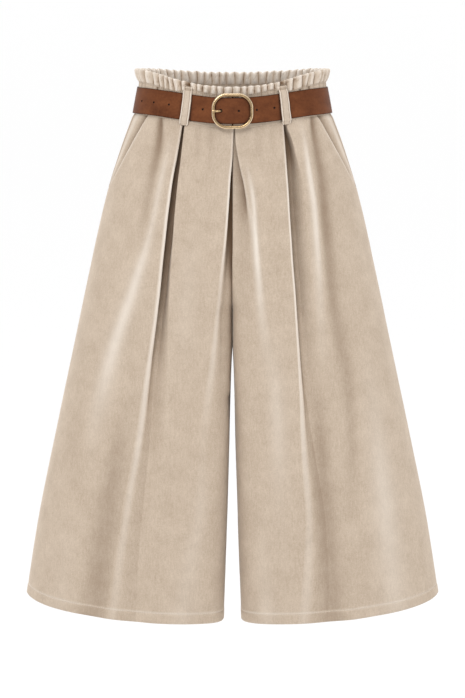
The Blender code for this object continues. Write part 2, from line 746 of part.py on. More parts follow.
def add_belt(leather):
    """The strap, with its row of holes through the free end and a slot for the prong in the fold on the bar."""
    rows = [[], []]
    for i, (along, out) in enumerate(strap_run()):
        half = BELT_HEIGHT / 2 * (TIP_HALVES[i] if i < len(TIP_HALVES) else 1.0)
        for row, rise in zip(rows, (half, -half)):
            row.append(at_waist(-along, rise, out))
    strap = add_wall("belt_strap", rows, BELT_LEATHER, leather)

    points, faces = [], []
    sides = HOLE_SIDES
    for k in HOLES:
        along = PRONG_ALONG + k * HOLE_PITCH
        out = read(FREE_END, along, "out")
        radius = PRONG_HOLE_RADIUS if k == 0 else HOLE_RADIUS
        first = len(points)
        for depth in (out - BELT_LEATHER / 2 - SEAM_GAP / 2, out + BELT_LEATHER + 1):
            for reach, rise in turned((-along, 0.0), radius, 0, 360 - 360 / sides, sides):
                points.append(at_waist(reach, rise, depth))
        ring = [first + i for i in range(sides)]
        faces.append(tuple(reversed(ring)))
        faces.append(tuple(i + sides for i in ring))
        for i in range(sides):
            a, b = ring[i], ring[(i + 1) % sides]
            faces.append((a, b, b + sides, a + sides))
    holes = add_cutter("belt_hole_cutter", points, faces)

    first, last = SLOT_REACHES
    low, high = SLOT_FROM, STRAP_ON_BAR + BELT_LEATHER / 2 + SEAM_GAP / 2
    corners = [
        at_waist(reach, rise, out)
        for rise in (-SLOT_HALF, SLOT_HALF)
        for reach, out in ((first, low), (last, low), (last, high), (first, high))
    ]
    sides_of_box = ((0, 1, 2, 3), (4, 5, 6, 7), (0, 1, 5, 4), (1, 2, 6, 5), (2, 3, 7, 6), (3, 0, 4, 7))
    slot = add_cutter("prong_slot_cutter", corners, sides_of_box)

    for cutter in (holes, slot):
        cut = strap.modifiers.new(cutter.name, "BOOLEAN")
        cut.operation = "DIFFERENCE"
        cut.object = cutter
    return strap


# ---------------------------------------------------------------- buckle

def at_buckle(x, rise, out):
    """A point in the buckle's own plane, which leans as the front of the waist does."""
    lean = (read(RINGS, -19.0, "front") - read(RINGS, 19.0, "front")) / 38.0
    return Vector((x, -read(RINGS, 0.0, "front") + lean * rise - out, rise - BELT_SAG.front))


def sweep(path, width, depth, sides, closed):
    """Points and faces of an oval wire along a path of (x, rise, out), with capped ends when it is open."""
    places = [at_buckle(*spot) for spot in path]
    count = len(places)
    flat = Vector((1.0, 0.0, 0.0)) if not closed else at_buckle(0, 0, 1) - at_buckle(0, 0, 0)
    points = []
    for i, place in enumerate(places):
        after = places[(i + 1) % count] if closed or i < count - 1 else place
        before = places[i - 1] if closed or i > 0 else place
        along = (after - before).normalized()
        beside = along.cross(flat).normalized()
        for k in range(sides):
            angle = math.tau * (k + 0.5) / sides
            points.append(place + beside * math.cos(angle) * width / 2 + flat * math.sin(angle) * depth / 2)
    faces = []
    for i in range(count if closed else count - 1):
        for k in range(sides):
            a, b = i * sides + k, i * sides + (k + 1) % sides
            ahead = (i + 1) % count * sides
            faces.append((a, b, ahead + (k + 1) % sides, ahead + k))
    if not closed:
        faces.append(tuple(reversed(range(sides))))
        faces.append(tuple((count - 1) * sides + k for k in range(sides)))
    return points, faces


def add_buckle(brass):
    """An oval ring with a fixed centre bar, bent back behind the strap, and the prong that turns on the bar."""
    half_width = (BUCKLE_WIDTH - BUCKLE_WIRE) / 2
    half_height = (BUCKLE_HEIGHT - BUCKLE_WIRE) / 2
    path = []
    power = 2 / BUCKLE_POWER
    for i in range(RING_STEPS):
        turn = math.tau * i / RING_STEPS
        x = math.copysign(abs(math.cos(turn)) ** power, math.cos(turn)) * half_width
        rise = math.copysign(abs(math.sin(turn)) ** power, math.sin(turn)) * half_height
        path.append((x, rise, RING_OUT))
    ring = add_solid("buckle_ring", *sweep(path, BUCKLE_WIRE, BUCKLE_WIRE_DEPTH, 8, True), brass)

    knee = BELT_HEIGHT / 2 + BAR_RADIUS + 0.7
    bar_path = [(0, half_height, RING_OUT), (0, knee + 0.7, RING_OUT - 2.6), (0, knee + 0.2, BAR_OUT + 1.4),
                (0, knee - 1.3, BAR_OUT), (0, 0, BAR_OUT)]
    bar_path += [(0, -rise, out) for _, rise, out in reversed(bar_path[:-1])]
    bar = add_cutter("buckle_bar", *sweep(bar_path, 2 * BAR_RADIUS, 2 * BAR_RADIUS, 8, False))
    joined = ring.modifiers.new("buckle_bar", "BOOLEAN")
    joined.operation = "UNION"
    joined.object = bar

    hook = BAR_RADIUS + SEAM_GAP + PRONG_METAL / 2
    line = [(x, out, 1.0) for x, out in turned((0.0, BAR_OUT), hook, *PRONG_WRAP, 9)]
    line += [(spot.x, spot.out, spot.width) for spot in PRONG]
    rows = [[], [], []]
    for x, out, share in line:
        half = PRONG_WIDTH / 2 * share
        for row, rise in zip(rows, (half, 0.0, -half)):
            row.append(at_buckle(x, rise, out))
    add_wall("buckle_prong", rows, PRONG_METAL, brass)


# ---------------------------------------------------------------- the garment

for old in list(bpy.data.objects):
    bpy.data.objects.remove(old, do_unlink=True)

beige_suede = material("beige_suede", (0.60, 0.50, 0.39), 0.9)
brown_leather = material("brown_leather", (0.16, 0.055, 0.025), 0.5)
pale_brass = material("pale_brass", (0.85, 0.68, 0.42), 0.25, 1.0)

add_leg_panels(beige_suede)
add_waistband(beige_suede)
add_belt_loops(beige_suede)
add_belt(brown_leather)
add_buckle(pale_brass)
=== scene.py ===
"""Wide pleated culottes with a gathered paper-bag waist and a leather belt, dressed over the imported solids.

The garment hangs as it is worn: the front faces -Y, the wearer's left is +X and the origin is the middle of
the waist. Cloth sizes are in millimetres. "Drop" is measured down from the origin, "rise" up from the belt's
middle line, "reach" along a line round the garment and "out" away from it.
"""

import math
from bisect import bisect_right
from collections import namedtuple

import bmesh
import bpy
from mathutils import Matrix, Vector, noise


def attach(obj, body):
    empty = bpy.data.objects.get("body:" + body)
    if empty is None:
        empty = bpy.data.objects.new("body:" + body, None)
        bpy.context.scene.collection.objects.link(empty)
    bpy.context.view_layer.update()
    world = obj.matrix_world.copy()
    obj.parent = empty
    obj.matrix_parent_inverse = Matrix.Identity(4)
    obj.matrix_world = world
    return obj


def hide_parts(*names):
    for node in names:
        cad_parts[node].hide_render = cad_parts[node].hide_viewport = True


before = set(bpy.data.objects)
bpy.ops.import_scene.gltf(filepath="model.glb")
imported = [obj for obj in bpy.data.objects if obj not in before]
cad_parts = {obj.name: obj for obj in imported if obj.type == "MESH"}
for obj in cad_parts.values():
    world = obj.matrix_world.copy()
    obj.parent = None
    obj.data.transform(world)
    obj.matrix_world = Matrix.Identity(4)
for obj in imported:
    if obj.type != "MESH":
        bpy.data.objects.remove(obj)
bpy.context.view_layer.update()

# ---------------------------------------------------------------- front leg panels
# Each leg's front is one cut of brushed suede cloth, sewn to its neighbour down the middle and pressed into
# a centre pleat and a side pleat that open into soft folds. Its slanted outer edge is the pocket mouth, and
# its hem is turned up inside and stitched.


def table_of(kind, *lines):
    """A table with named columns, from its lines."""
    return tuple(kind(*line) for line in lines)


MM = 0.001
CLOTH = 1.0
# The height of one layer of folded cloth, with the air beside it.
LAYER = 3.0
# The roundness of a section's outer half: 2 is an ellipse, and more is squarer.
SIDE_POWER = 2.25
SECTION_STEPS = 90
# Columns of points on a front panel: in to the centre pleat, from there to the side pleat, and outside that.
CENTRE_COLUMNS = 30
MIDDLE_COLUMNS = 40
OUTER_COLUMNS = 46
SLOPE_STEPS = 18
CROTCH_DROP = 300.0
CROTCH_POWER = 2.4
CROTCH_STARTS = {"front": 205.0, "back": 185.0}
PANEL_TOP = 17.0
HEM_DROP = 760.0
HEM_DEPTH = 14.5
HEM_CURVE_START = 330.0
POCKET_TOP_ACROSS = 125.0
POCKET_START_DROP = 22.0
POCKET_END_DROP = 133.0

Level = namedtuple("Level", "drop side front back middle inner_power")
LEVELS = table_of(
    Level,
    (20, 145.3, 93.2, 94.2, 1, 6.0),
    (71, 164.0, 99.0, 105.0, 16, 6.0),
    (133, 183.3, 104.0, 114.0, 38, 6.0),
    (200, 199.5, 106.0, 117.0, 62, 6.0),
    (235, 207.0, 106.0, 116.0, 80, 6.0),
    (281, 217.0, 106.0, 113.0, 98, 6.0),
    (365, 234.5, 104.0, 108.0, 117, 5.5),
    (493, 260.5, 103.0, 109.0, 131, 4.5),
    (636, 287.5, 103.0, 111.0, 147, 3.6),
    (760, 305.5, 103.0, 113.0, 158, 3.0),
)

# Half the gap between the legs, by drop.
Gap = namedtuple("Gap", "drop half")
GAPS = table_of(Gap, (200, 0.0), (235, 0.12), (340, 0.15), (358, 0.4), (372, 1.1), (392, 2.1), (464, 4.2),
                (500, 5.0), (636, 9.2), (760, 13.7))

Hem = namedtuple("Hem", "share lift")
HEM = table_of(Hem, (-1.0, -5.0), (-0.5, -3.4), (0.0, 1.5), (0.4, 9.1), (0.75, 18.6), (0.9, 24.6),
               (1.0, 30.0))

# A pleat by drop: the place across of its pressed edge, the cloth hidden under it, how deep its recess is,
# how far it has opened into a soft slope, and how far that slope runs to each side.
Pleat = namedtuple("Pleat", "drop edge overlap floor open valley crest")
PLEATS = {
    "right_centre": table_of(
        Pleat,
        (16, -1.6, 12, 12.0, 0.0, 4, 4),
        (73, 0.8, 12, 14.0, 0.0, 4, 5),
        (109, 3.3, 10, 15.0, 0.0, 5, 6),
        (137, 4.9, 8, 15.0, 0.0, 5, 8),
        (168, 6.8, 6, 15.0, 0.0, 6, 9),
        (205, 8.8, 5, 14.0, 0.25, 5, 7),
        (238, 10.8, 4, 12.5, 0.60, 5, 7),
        (274, 13.6, 4, 11.0, 0.95, 6, 7),
        (317, 16.4, 4, 9.5, 1.0, 8, 9),
        (365, 19.5, 4, 7.0, 1.0, 11, 12),
        (410, 22.0, 4, 5.0, 1.0, 13, 16),
        (480, 27.0, 4, 1.2, 1.0, 10, 20),
        (762, 40.0, 4, 0.0, 1.0, 12, 24),
    ),
    "right_side": table_of(
        Pleat,
        (16, 72.0, 15, 12.0, 0.0, 4, 5),
        (67, 80.2, 15, 15.0, 0.0, 4, 5),
        (125, 89.2, 14, 17.0, 0.0, 5, 6),
        (186, 96.5, 13, 17.0, 0.0, 6, 7),
        (250, 103.0, 11, 16.0, 0.06, 7, 8),
        (313, 109.4, 10, 15.0, 0.15, 8, 9),
        (380, 117.3, 8, 11.5, 0.40, 10, 10),
        (477, 128.5, 7, 8.5, 0.80, 12, 10),
        (588, 145.5, 6, 6.0, 1.0, 15, 12),
        (685, 157.8, 5, 4.8, 1.0, 19, 16),
        (762, 166.0, 5, 4.0, 1.0, 24, 20),
    ),
    "left_centre": table_of(
        Pleat,
        (16, 3.4, 12, 6.4, 0.0, 4, 4),
        (44, 4.9, 12, 6.6, 0.0, 4, 5),
        (82, 10.0, 11, 7.6, 0.0, 5, 7),
        (121, 16.7, 8, 8.0, 0.08, 6, 9),
        (146, 19.4, 6, 8.2, 0.40, 7, 9),
        (172, 22.4, 5, 7.8, 0.85, 9, 10),
        (205, 25.5, 4, 6.6, 1.0, 12, 11),
        (250, 29.0, 4, 5.0, 1.0, 14, 13),
        (317, 33.0, 4, 2.6, 1.0, 17, 18),
        (380, 37.0, 4, 0.8, 1.0, 18, 24),
        (762, 60.0, 4, 0.0, 1.0, 20, 30),
    ),
    "left_side": table_of(
        Pleat,
        (16, 73.5, 15, 12.0, 0.0, 4, 5),
        (83, 78.1, 15, 15.0, 0.0, 4, 5),
        (127, 80.8, 14, 16.0, 0.0, 5, 6),
        (202, 85.6, 13, 14.0, 0.0, 6, 7),
        (253, 89.3, 12, 12.5, 0.04, 7, 8),
        (317, 94.6, 10, 11.0, 0.14, 8, 9),
        (415, 102.3, 8, 9.0, 0.45, 10, 9),
        (520, 110.6, 7, 6.5, 0.85, 13, 11),
        (616, 120.0, 6, 5.0, 1.0, 16, 13),
        (680, 120.0, 5, 4.4, 1.0, 20, 16),
        (762, 116.0, 5, 4.0, 1.0, 24, 20),
    ),
}

# How dark the painted shade in the recess of a side pleat is, by drop.
Shade = namedtuple("Shade", "drop dark")
SHADES = {
    "right": table_of(Shade, (16, 0.85), (190, 0.80), (250, 0.68), (290, 0.52), (331, 0.30), (405, 0.14),
                      (494, 0.05), (600, 0.0), (762, 0.0)),
    "left": table_of(Shade, (16, 1.0), (66, 0.95), (95, 0.64), (140, 0.45), (212, 0.36), (272, 0.28),
                     (331, 0.14), (405, 0.03), (480, 0.0), (762, 0.0)),
}

# The bank that faces a side pleat's edge, by drop: its gap from the edge, its width, and how far its crest
# swells.
Bank = namedtuple("Bank", "drop gap width swell")
BANKS = {
    "right": table_of(
        Bank,
        (16, 2.0, 2, 0.0),
        (62, 4.4, 2.0, 0.2),
        (109, 7.0, 2.0, 0.4),
        (153, 8.2, 2.2, 0.5),
        (212, 9.6, 2.8, 0.6),
        (272, 9.4, 4.5, 0.6),
        (331, 8.0, 11, 0.6),
        (405, 9.0, 18, 0.6),
        (494, 10.0, 24, 0.5),
        (600, 12.0, 28, 0.3),
        (762, 14.0, 32, 0.0),
    ),
    "left": table_of(
        Bank,
        (16, 2.0, 2, 0.0),
        (32, 5.0, 1.6, 0.3),
        (44, 8.5, 2.0, 0.4),
        (66, 11.5, 3.0, 0.5),
        (86, 11.5, 7, 0.5),
        (121, 9.5, 14, 0.5),
        (191, 8.5, 17, 0.5),
        (300, 7.0, 22, 0.5),
        (450, 10.0, 30, 0.3),
        (600, 12.0, 34, 0.4),
        (762, 14.0, 36, 0.0),
    ),
}

# Soft creases, by drop: where one runs across, how wide it is, and how far it stands out or sinks in.
Crease = namedtuple("Crease", "drop across width height")
CREASES = {
    "front_right": (
        table_of(Crease, (30, 84, 5, 0.0), (60, 92, 6, 1.4), (121, 105, 7, 2.6), (200, 122, 9, 2.8),
                 (270, 143, 12, 3.0), (354, 171, 15, 2.9), (430, 191, 18, 2.2), (560, 223, 22, 0.0)),
        table_of(Crease, (17, 105.5, 3.2, -2.0), (30, 106, 4.2, -5.5), (60, 108.5, 6.5, -4.2),
                 (109, 117, 8, -2.4), (160, 125, 10, -1.5), (230, 137, 12, 0.0)),
        table_of(Crease, (17, 30, 6, -0.6), (50, 31, 6, -0.9), (110, 34, 9, 0.0)),
        table_of(Crease, (17, 50, 5, -0.5), (44, 50, 5, -1.0), (90, 50, 8, 0.0)),
        table_of(Crease, (150, 55, 14, 0.0), (280, 66, 18, 1.2), (420, 74, 20, 0.0)),
        table_of(Crease, (500, 42, 12, 0.0), (590, 47, 14, 1.3), (690, 66, 18, 1.5), (762, 74, 20, 1.6)),
        table_of(Crease, (420, 150, 14, 0.0), (560, 176, 17, -2.0), (762, 205, 24, -2.2)),
        table_of(Crease, (360, 208, 12, 0.0), (500, 226, 16, -1.0), (640, 245, 20, 0.6), (762, 255, 24, 1.0)),
    ),
    "front_left": (
        table_of(Crease, (17, 96, 5, 0.0), (40, 102, 5, 1.6), (64, 105.5, 5, 2.6), (109, 111.5, 5.5, 3.4),
                 (153, 118.2, 6.5, 3.4), (212, 123, 7.5, 3.2), (272, 127.5, 9, 2.4), (331, 130, 12, 1.4),
                 (420, 136, 14, 0.0)),
        table_of(Crease, (17, 117, 3.6, -2.0), (30, 118, 4.4, -4.6), (64, 123, 6.5, -3.4),
                 (109, 130, 8, -3.4), (153, 134.5, 9, -3.4), (212, 139, 10, -3.0), (272, 144, 11, -2.6),
                 (343, 156, 13, -2.0), (420, 170, 10, -1.6), (500, 175, 10, -1.3), (640, 180, 16, 0.0)),
        table_of(Crease, (330, 192, 14, 0.0), (430, 204, 18, 1.4), (590, 222, 24, 2.4), (762, 240, 28, 1.8)),
        table_of(Crease, (60, 17, 4, 0.0), (109, 25, 4.5, 2.2), (138, 29.7, 5, 3.0), (183, 33.3, 5, 3.0),
                 (227, 35.8, 6, 2.8), (272, 39, 7.5, 2.2), (316, 41.5, 9, 1.5), (353, 44, 11, 0.8),
                 (410, 47, 13, 0.0)),
        table_of(Crease, (17, 36, 6, -0.5), (48, 38, 6, -0.9), (100, 44, 9, 0.0)),
        table_of(Crease, (17, 57, 5, -0.4), (40, 57, 5, -0.8), (84, 60, 8, 0.0)),
        table_of(Crease, (300, 58, 14, 0.0), (450, 66, 15, 2.0), (640, 72, 20, 0.4), (762, 74, 22, 0.0)),
        table_of(Crease, (380, 122, 10, 0.0), (540, 132, 13, -2.2), (762, 150, 19, -2.0)),
        table_of(Crease, (560, 40, 12, 0.0), (690, 46, 16, 1.2), (762, 52, 18, 1.6)),
    ),
}

# How far the cloth sinks towards the seam down the middle of the front.
CENTRE_SEAM_DEPTH = 15.0
WAIST_SAG = {"front": 16.5, "back": 4.5}
HEM_WAVE = table_of(Crease, (20, 0, 1, 0.0), (190, 0, 1, 0.0), (330, 0, 1, 0.5), (560, 0, 1, 1.2),
                    (762, 0, 1, 1.8))


def slope_at(keys, values, i):
    """The slope of a curve at row i that bends smoothly and never overshoots a row."""
    steps = [
        (values[j + 1] - values[j]) / (keys[j + 1] - keys[j])
        for j in (i - 1, i)
        if 0 <= j < len(keys) - 1
    ]
    if len(steps) == 1:
        return steps[0]
    if steps[0] * steps[1] <= 0:
        return 0.0
    return 2 * steps[0] * steps[1] / (steps[0] + steps[1])


def read(table, where, column):
    """One column of a table at a place between its rows, on a smooth curve through them."""
    keys = [row[0] for row in table]
    values = [getattr(row, column) for row in table]
    where = min(max(where, keys[0]), keys[-1])
    low = min(bisect_right(keys, where), len(keys) - 1) - 1
    span = keys[low + 1] - keys[low]
    share = (where - keys[low]) / span
    return (
        (1 + 2 * share) * (1 - share) ** 2 * values[low]
        + share * (1 - share) ** 2 * span * slope_at(keys, values, low)
        + share**2 * (3 - 2 * share) * values[low + 1]
        + share**2 * (share - 1) * span * slope_at(keys, values, low + 1)
    )


def row_at(table, where):
    """A whole row of a table at a place between its rows."""
    kind = type(table[0])
    return kind(where, *(read(table, where, column) for column in kind._fields[1:]))


def soft_step(share):
    """0 to 1 along a smooth ramp."""
    share = min(max(share, 0.0), 1.0)
    return share * share * (3 - 2 * share)


def spread(start, end, count):
    """Count values from just after start up to end, evenly spaced."""
    return [start + (end - start) * (i + 1) / count for i in range(count)]


def turned(centre, radius, start, end, count):
    """Points on an arc, from one angle to another in degrees."""
    angles = [math.radians(start + (end - start) * i / (count - 1)) for i in range(count)]
    return [(centre[0] + radius * math.cos(a), centre[1] + radius * math.sin(a)) for a in angles]


class Section:
    """Half of the body seen from above, from the centre seam or inseam to the side seam, with y negative."""

    def __init__(self, points):
        self.points = points
        self.reaches = [0.0]
        for a, b in zip(points, points[1:]):
            self.reaches.append(self.reaches[-1] + (b - a).length)
        self.length = self.reaches[-1]

    def at(self, reach, out):
        """The point at a reach along the section, moved outwards."""
        i = min(max(bisect_right(self.reaches, reach) - 1, 0), len(self.points) - 2)
        step = self.points[i + 1] - self.points[i]
        share = (reach - self.reaches[i]) / step.length
        before = self.points[i + 1] - self.points[max(i - 1, 0)]
        after = self.points[min(i + 2, len(self.points) - 1)] - self.points[i]
        along = before.lerp(after, min(max(share, 0.0), 1.0)).normalized()
        return self.points[i] + step * share + Vector((along.y, -along.x)) * out

    def reach_of(self, across):
        """The reach at which the section is this far across, on its outer side."""
        for i in range(len(self.points) - 1):
            low, high = self.points[i].x, self.points[i + 1].x
            if high >= across > low:
                step = self.reaches[i + 1] - self.reaches[i]
                return self.reaches[i] + step * (across - low) / (high - low)
        return across if across < self.points[0].x else self.length


def body_section(drop, facing):
    """The section of the front or the back at a drop. Above the crotch it starts on the crotch curve."""
    level = row_at(LEVELS, drop)
    inner = read(GAPS, drop, "half")
    depth = level.front if facing == "front" else level.back
    start = CROTCH_STARTS[facing]
    down = min(max((drop - start) / (CROTCH_DROP - start), 0.0), 1.0)
    edge = max(0.01, depth * (1 - down**CROTCH_POWER) ** (1 / CROTCH_POWER))
    points = []
    power = 2 / (level.inner_power * (1.5 if facing == "front" else 1.0))
    for i in range(SECTION_STEPS + 1):
        turn = math.pi / 2 * i / SECTION_STEPS
        x = level.middle - (level.middle - inner) * math.cos(turn) ** power
        y = edge + (depth - edge) * math.sin(turn) ** power
        points.append(Vector((x, -y)))
    power = 2 / SIDE_POWER
    for i in range(1, SECTION_STEPS + 1):
        turn = math.pi / 2 * (1 - i / SECTION_STEPS)
        x = level.middle + (level.side - level.middle) * math.cos(turn) ** power
        points.append(Vector((x, -depth * math.sin(turn) ** power)))
    return Section([p for i, p in enumerate(points) if i == 0 or (p - points[i - 1]).length > 1e-6])


def height(drop, across, facing):
    """The height of a point: the waist edge sinks towards the middle, and the hem lifts at the side seam."""
    level = row_at(LEVELS, drop)
    share = min(abs(across) / level.side, 1.0)
    sag = WAIST_SAG[facing] * (1 - share**2) ** 2 * (1 - soft_step((drop - 22) / 115))
    half = level.side - level.middle if across > level.middle else level.middle - read(GAPS, drop, "half")
    curved = max(0.0, (drop - HEM_CURVE_START) / (HEM_DROP - HEM_CURVE_START)) ** 1.5
    return -drop - sag + read(HEM, (across - level.middle) / half, "lift") * curved


def creased(creases, drop, across):
    """How far the listed creases move the cloth at a place."""
    moved = 0.0
    for crease in creases:
        if crease[0].drop <= drop <= crease[-1].drop:
            there = row_at(crease, drop)
            moved += there.height * math.exp(-(((across - there.across) / there.width) ** 2))
    return moved


def ripple(spot, side, facing):
    """The small unevenness of hanging cloth, long in the drop and short across it."""
    behind = 5 if facing == "back" else 0
    where = Vector((spot.x * 0.028 + 11 * side, spot.y * 0.028 + behind, spot.z * 0.011))
    fine = Vector((spot.x * 0.09 - 7 * side, spot.y * 0.09, spot.z * 0.045))
    return 0.75 * noise.noise(where) + 0.22 * noise.noise(fine)


def pressed_fold(edge, pleat, dark=1.0, edge_highlight=1.0):
    """A pleat's line from its recess, under the fold, round its edge, onto its face, with painted light."""
    bend = LAYER / 2
    hidden_bend = (max(pleat.floor, 2 * LAYER) - LAYER) / 2
    # Painted shade under the fold and a painted highlight round its edge; as the pleat opens, a painted
    # highlight on the slope's crest and painted shade at its foot.
    folded = [(*spot, -dark) for spot in turned((edge + pleat.overlap - hidden_bend, -LAYER - hidden_bend),
                                               hidden_bend, -90, 90, 9)]
    folded += [(*spot, min(edge_highlight, i / 3 - 0.7 * dark)) for i, spot in
               enumerate(turned((edge + bend, -bend), bend, -90, -270, 11))]
    line = []
    for i, (reach, out, painted_light_and_tone) in enumerate(folded):
        share = i / (len(folded) - 1)
        open_reach = edge - pleat.valley + (pleat.valley + pleat.crest) * share
        open_out = -pleat.floor * (1 - soft_step(share))
        lit = 0.5 * math.exp(-(((share - 0.8) / 0.2) ** 2)) - 0.2 * (1 - share)
        open_painted_light = lit * min(pleat.floor / 8, 1.0)
        line.append((
            reach + (open_reach - reach) * pleat.open,
            out + (open_out - out) * pleat.open,
            painted_light_and_tone + (open_painted_light - painted_light_and_tone) * pleat.open,
        ))
    return line


def mouth_reach(section, drop):
    """The reach of a front panel's outer edge: its pocket mouth, and the side seam below that."""
    if drop >= POCKET_END_DROP:
        return section.length
    share = (drop - POCKET_START_DROP) / (POCKET_END_DROP - POCKET_START_DROP)
    end = read(LEVELS, POCKET_END_DROP, "side")
    return section.reach_of(POCKET_TOP_ACROSS + (end - POCKET_TOP_ACROSS) * share)


def turned_in(reach, way, depth, width):
    """The last few places of a line whose edge is folded to the inside."""
    # A painted highlight on the folded edge, turning to painted shade inside it.
    return [(reach - way * 0.35 * depth, -0.1 * depth, 1.0), (reach, -0.5 * depth, 0.8),
            (reach - way * 0.35 * depth, -0.9 * depth, 0.0), (reach - way * width, -depth, -0.5)]


def front_line(section, drop, side_name):
    """One row of a front panel: half the centre pleat, the middle, the side pleat and the outer cloth."""
    wander = noise.noise(Vector((drop * 0.02, 3.0 if side_name == "right" else 9.0, 0.0)))
    centre = row_at(PLEATS[side_name + "_centre"], drop)
    side = row_at(PLEATS[side_name + "_side"], drop)
    bank = row_at(BANKS[side_name], drop)
    # How strong the painted highlight on the pleats' pressed edges may be, weaker near the waist.
    edge_highlight = 0.35 + 0.65 * soft_step((drop - 40) / 80)
    fold = pressed_fold(section.reach_of(centre.edge + 0.4 * wander), centre, 1.0,
                        edge_highlight if side_name == "right" else 0.22 * edge_highlight)
    fold_reach, fold_out, fold_painted_light = fold[0]

    # In from the centre seam, in painted shade, to the centre pleat's recess.
    high = 1 - soft_step((drop - 290) / 90)
    seam_out = -CENTRE_SEAM_DEPTH * high * soft_step((drop + 10) / 50)
    shaded = 1 - soft_step((drop - 335) / 120)
    dark = read(SHADES[side_name], drop, "dark")
    near = [(reach, seam_out + (fold_out * high - seam_out) * share, -1.0 * high * (1 - share))
            for reach, share in ((0.0, 0.0), (0.25, 0.5), (0.5, 0.86), (0.9, 0.97), (1.5, 1.0))]
    if side_name == "right":
        near = [(reach, seam_out, -shaded) for reach, _, _ in near]
    line = list(near)
    start_reach, start_out, start_painted_light = near[-1]
    for reach in spread(start_reach, fold_reach, CENTRE_COLUMNS)[:-1]:
        share = (reach - start_reach) / max(fold_reach - start_reach, 0.01)
        out = start_out + (fold_out - start_out) * soft_step(share)
        line.append((reach, out, start_painted_light + (fold_painted_light - start_painted_light) * share))
    line += fold

    # The side pleat, and the slope down to its recess from the bank that faces it, with painted shade that
    # deepens down the slope and lies on the recess floor. The right's recess lies on the inner side of its
    # edge, and the left's on the outer side.
    edge = section.reach_of(side.edge + 0.5 * wander)
    pleat = pressed_fold(edge, side, max(dark, 0.3), edge_highlight)
    floor = pleat[0][1]
    slope = []
    for i in range(SLOPE_STEPS + 1):
        share = i / SLOPE_STEPS
        crest = bank.swell * math.exp(-((share / 0.35) ** 2))
        shade = -0.95 * share * dark
        slope.append((share, floor * (1 - (1 - share**1.6) ** 1.3) + crest * (1 - share), shade))
    if side_name == "right":
        foot = min(edge - bank.gap, pleat[0][0] - 1.0)
        head = max(foot - bank.width, fold[-1][0] + 12.0)
        run = [(head + (foot - head) * share, out, painted_light_and_tone) for share, out, painted_light_and_tone in slope]
        run += [(reach, floor, -0.95 * dark) for reach in spread(foot, pleat[0][0], 4)[:-1]]
        run += pleat
    else:
        pleat = [(2 * edge - reach, out, painted_light_and_tone) for reach, out, painted_light_and_tone in reversed(pleat)]
        foot = max(edge + bank.gap, pleat[-1][0] + 1.0)
        head = foot + bank.width
        run = pleat + [(reach, floor, -0.95 * dark) for reach in spread(pleat[-1][0], foot, 4)[:-1]]
        run += [(head + (foot - head) * share, out, painted_light_and_tone) for share, out, painted_light_and_tone in reversed(slope)]
    line += [(reach, 0.0, 0.0) for reach in spread(fold[-1][0], run[0][0], MIDDLE_COLUMNS)[:-1]]
    line += run
    crest_reach, way = (run[0][0], -1) if side_name == "right" else (run[-1][0], 1)

    # The outer cloth, swollen beside the bank's crest, and the folded edge that gapes at the pocket mouth.
    # Painted shade lies along the left leg's inseam, a painted highlight along both inseams low down, and
    # one on the mouth's edge.
    start, end = line[-1][0], mouth_reach(section, drop)
    last = end - 1.2
    line += [(reach, 0.0, 0.0) for reach in spread(start, last, OUTER_COLUMNS)]
    gape = 1.8 * math.sin(math.pi * min(max((drop - 18) / (POCKET_END_DROP - 14), 0.0), 1.0)) ** 0.7
    inseam = 0.8 + 6.5 * soft_step((drop - 235) / 100)
    swollen = []
    for reach, out, painted_light_and_tone in line:
        if side_name == "left":
            painted_light_and_tone -= shaded * max(1 - reach / inseam, 0.0) ** 1.3
        away = way * (reach - crest_reach)
        if away > 0:
            out += bank.swell * math.exp(-((away / 16) ** 2))
        painted_light_and_tone += 0.22 * math.exp(-((reach / 8) ** 2)) * soft_step((drop - 430) / 100)
        beside = max(1 - (end - reach) / 20, 0.0)
        swollen.append((reach, out + gape * beside**2, painted_light_and_tone + 0.8 * beside**12 * gape))
    return swollen + [(reach, out + gape, painted_light_and_tone if gape > 0.1 else painted_light_and_tone * 0.4) for reach, out, painted_light_and_tone in
                      turned_in(end, 1, 2.6, 9.0)]


def panel_drops(steps):
    """The rows of a panel from its waist edge to its hem, close together at the hem's stitching."""
    stitched = HEM_DROP - HEM_DEPTH
    drops = [PANEL_TOP, 19.5, 22.0, 24.5, 27.0] + spread(27.0, 240.0, int(steps * 0.36))
    drops += spread(240.0, stitched - 5, int(steps * 0.64))
    drops += [stitched + beside for beside in (-3, -1.8, -0.9, 0, 0.9, 1.8, 3.2)]
    return drops + spread(stitched + 3.2, HEM_DROP - 0.8, 5)


def hem_relief(drop):
    """The groove of the hem's stitching and the doubled cloth below it."""
    below = drop - (HEM_DROP - HEM_DEPTH)
    return -0.75 * math.exp(-((below / 1.3) ** 2)) + 0.45 * soft_step(below / 3.0)


def waist_tuck(drop):
    """How far a panel's top edge is tucked in under the waistband."""
    return -1.5 * (1 - soft_step((drop - PANEL_TOP - 3) / 6))


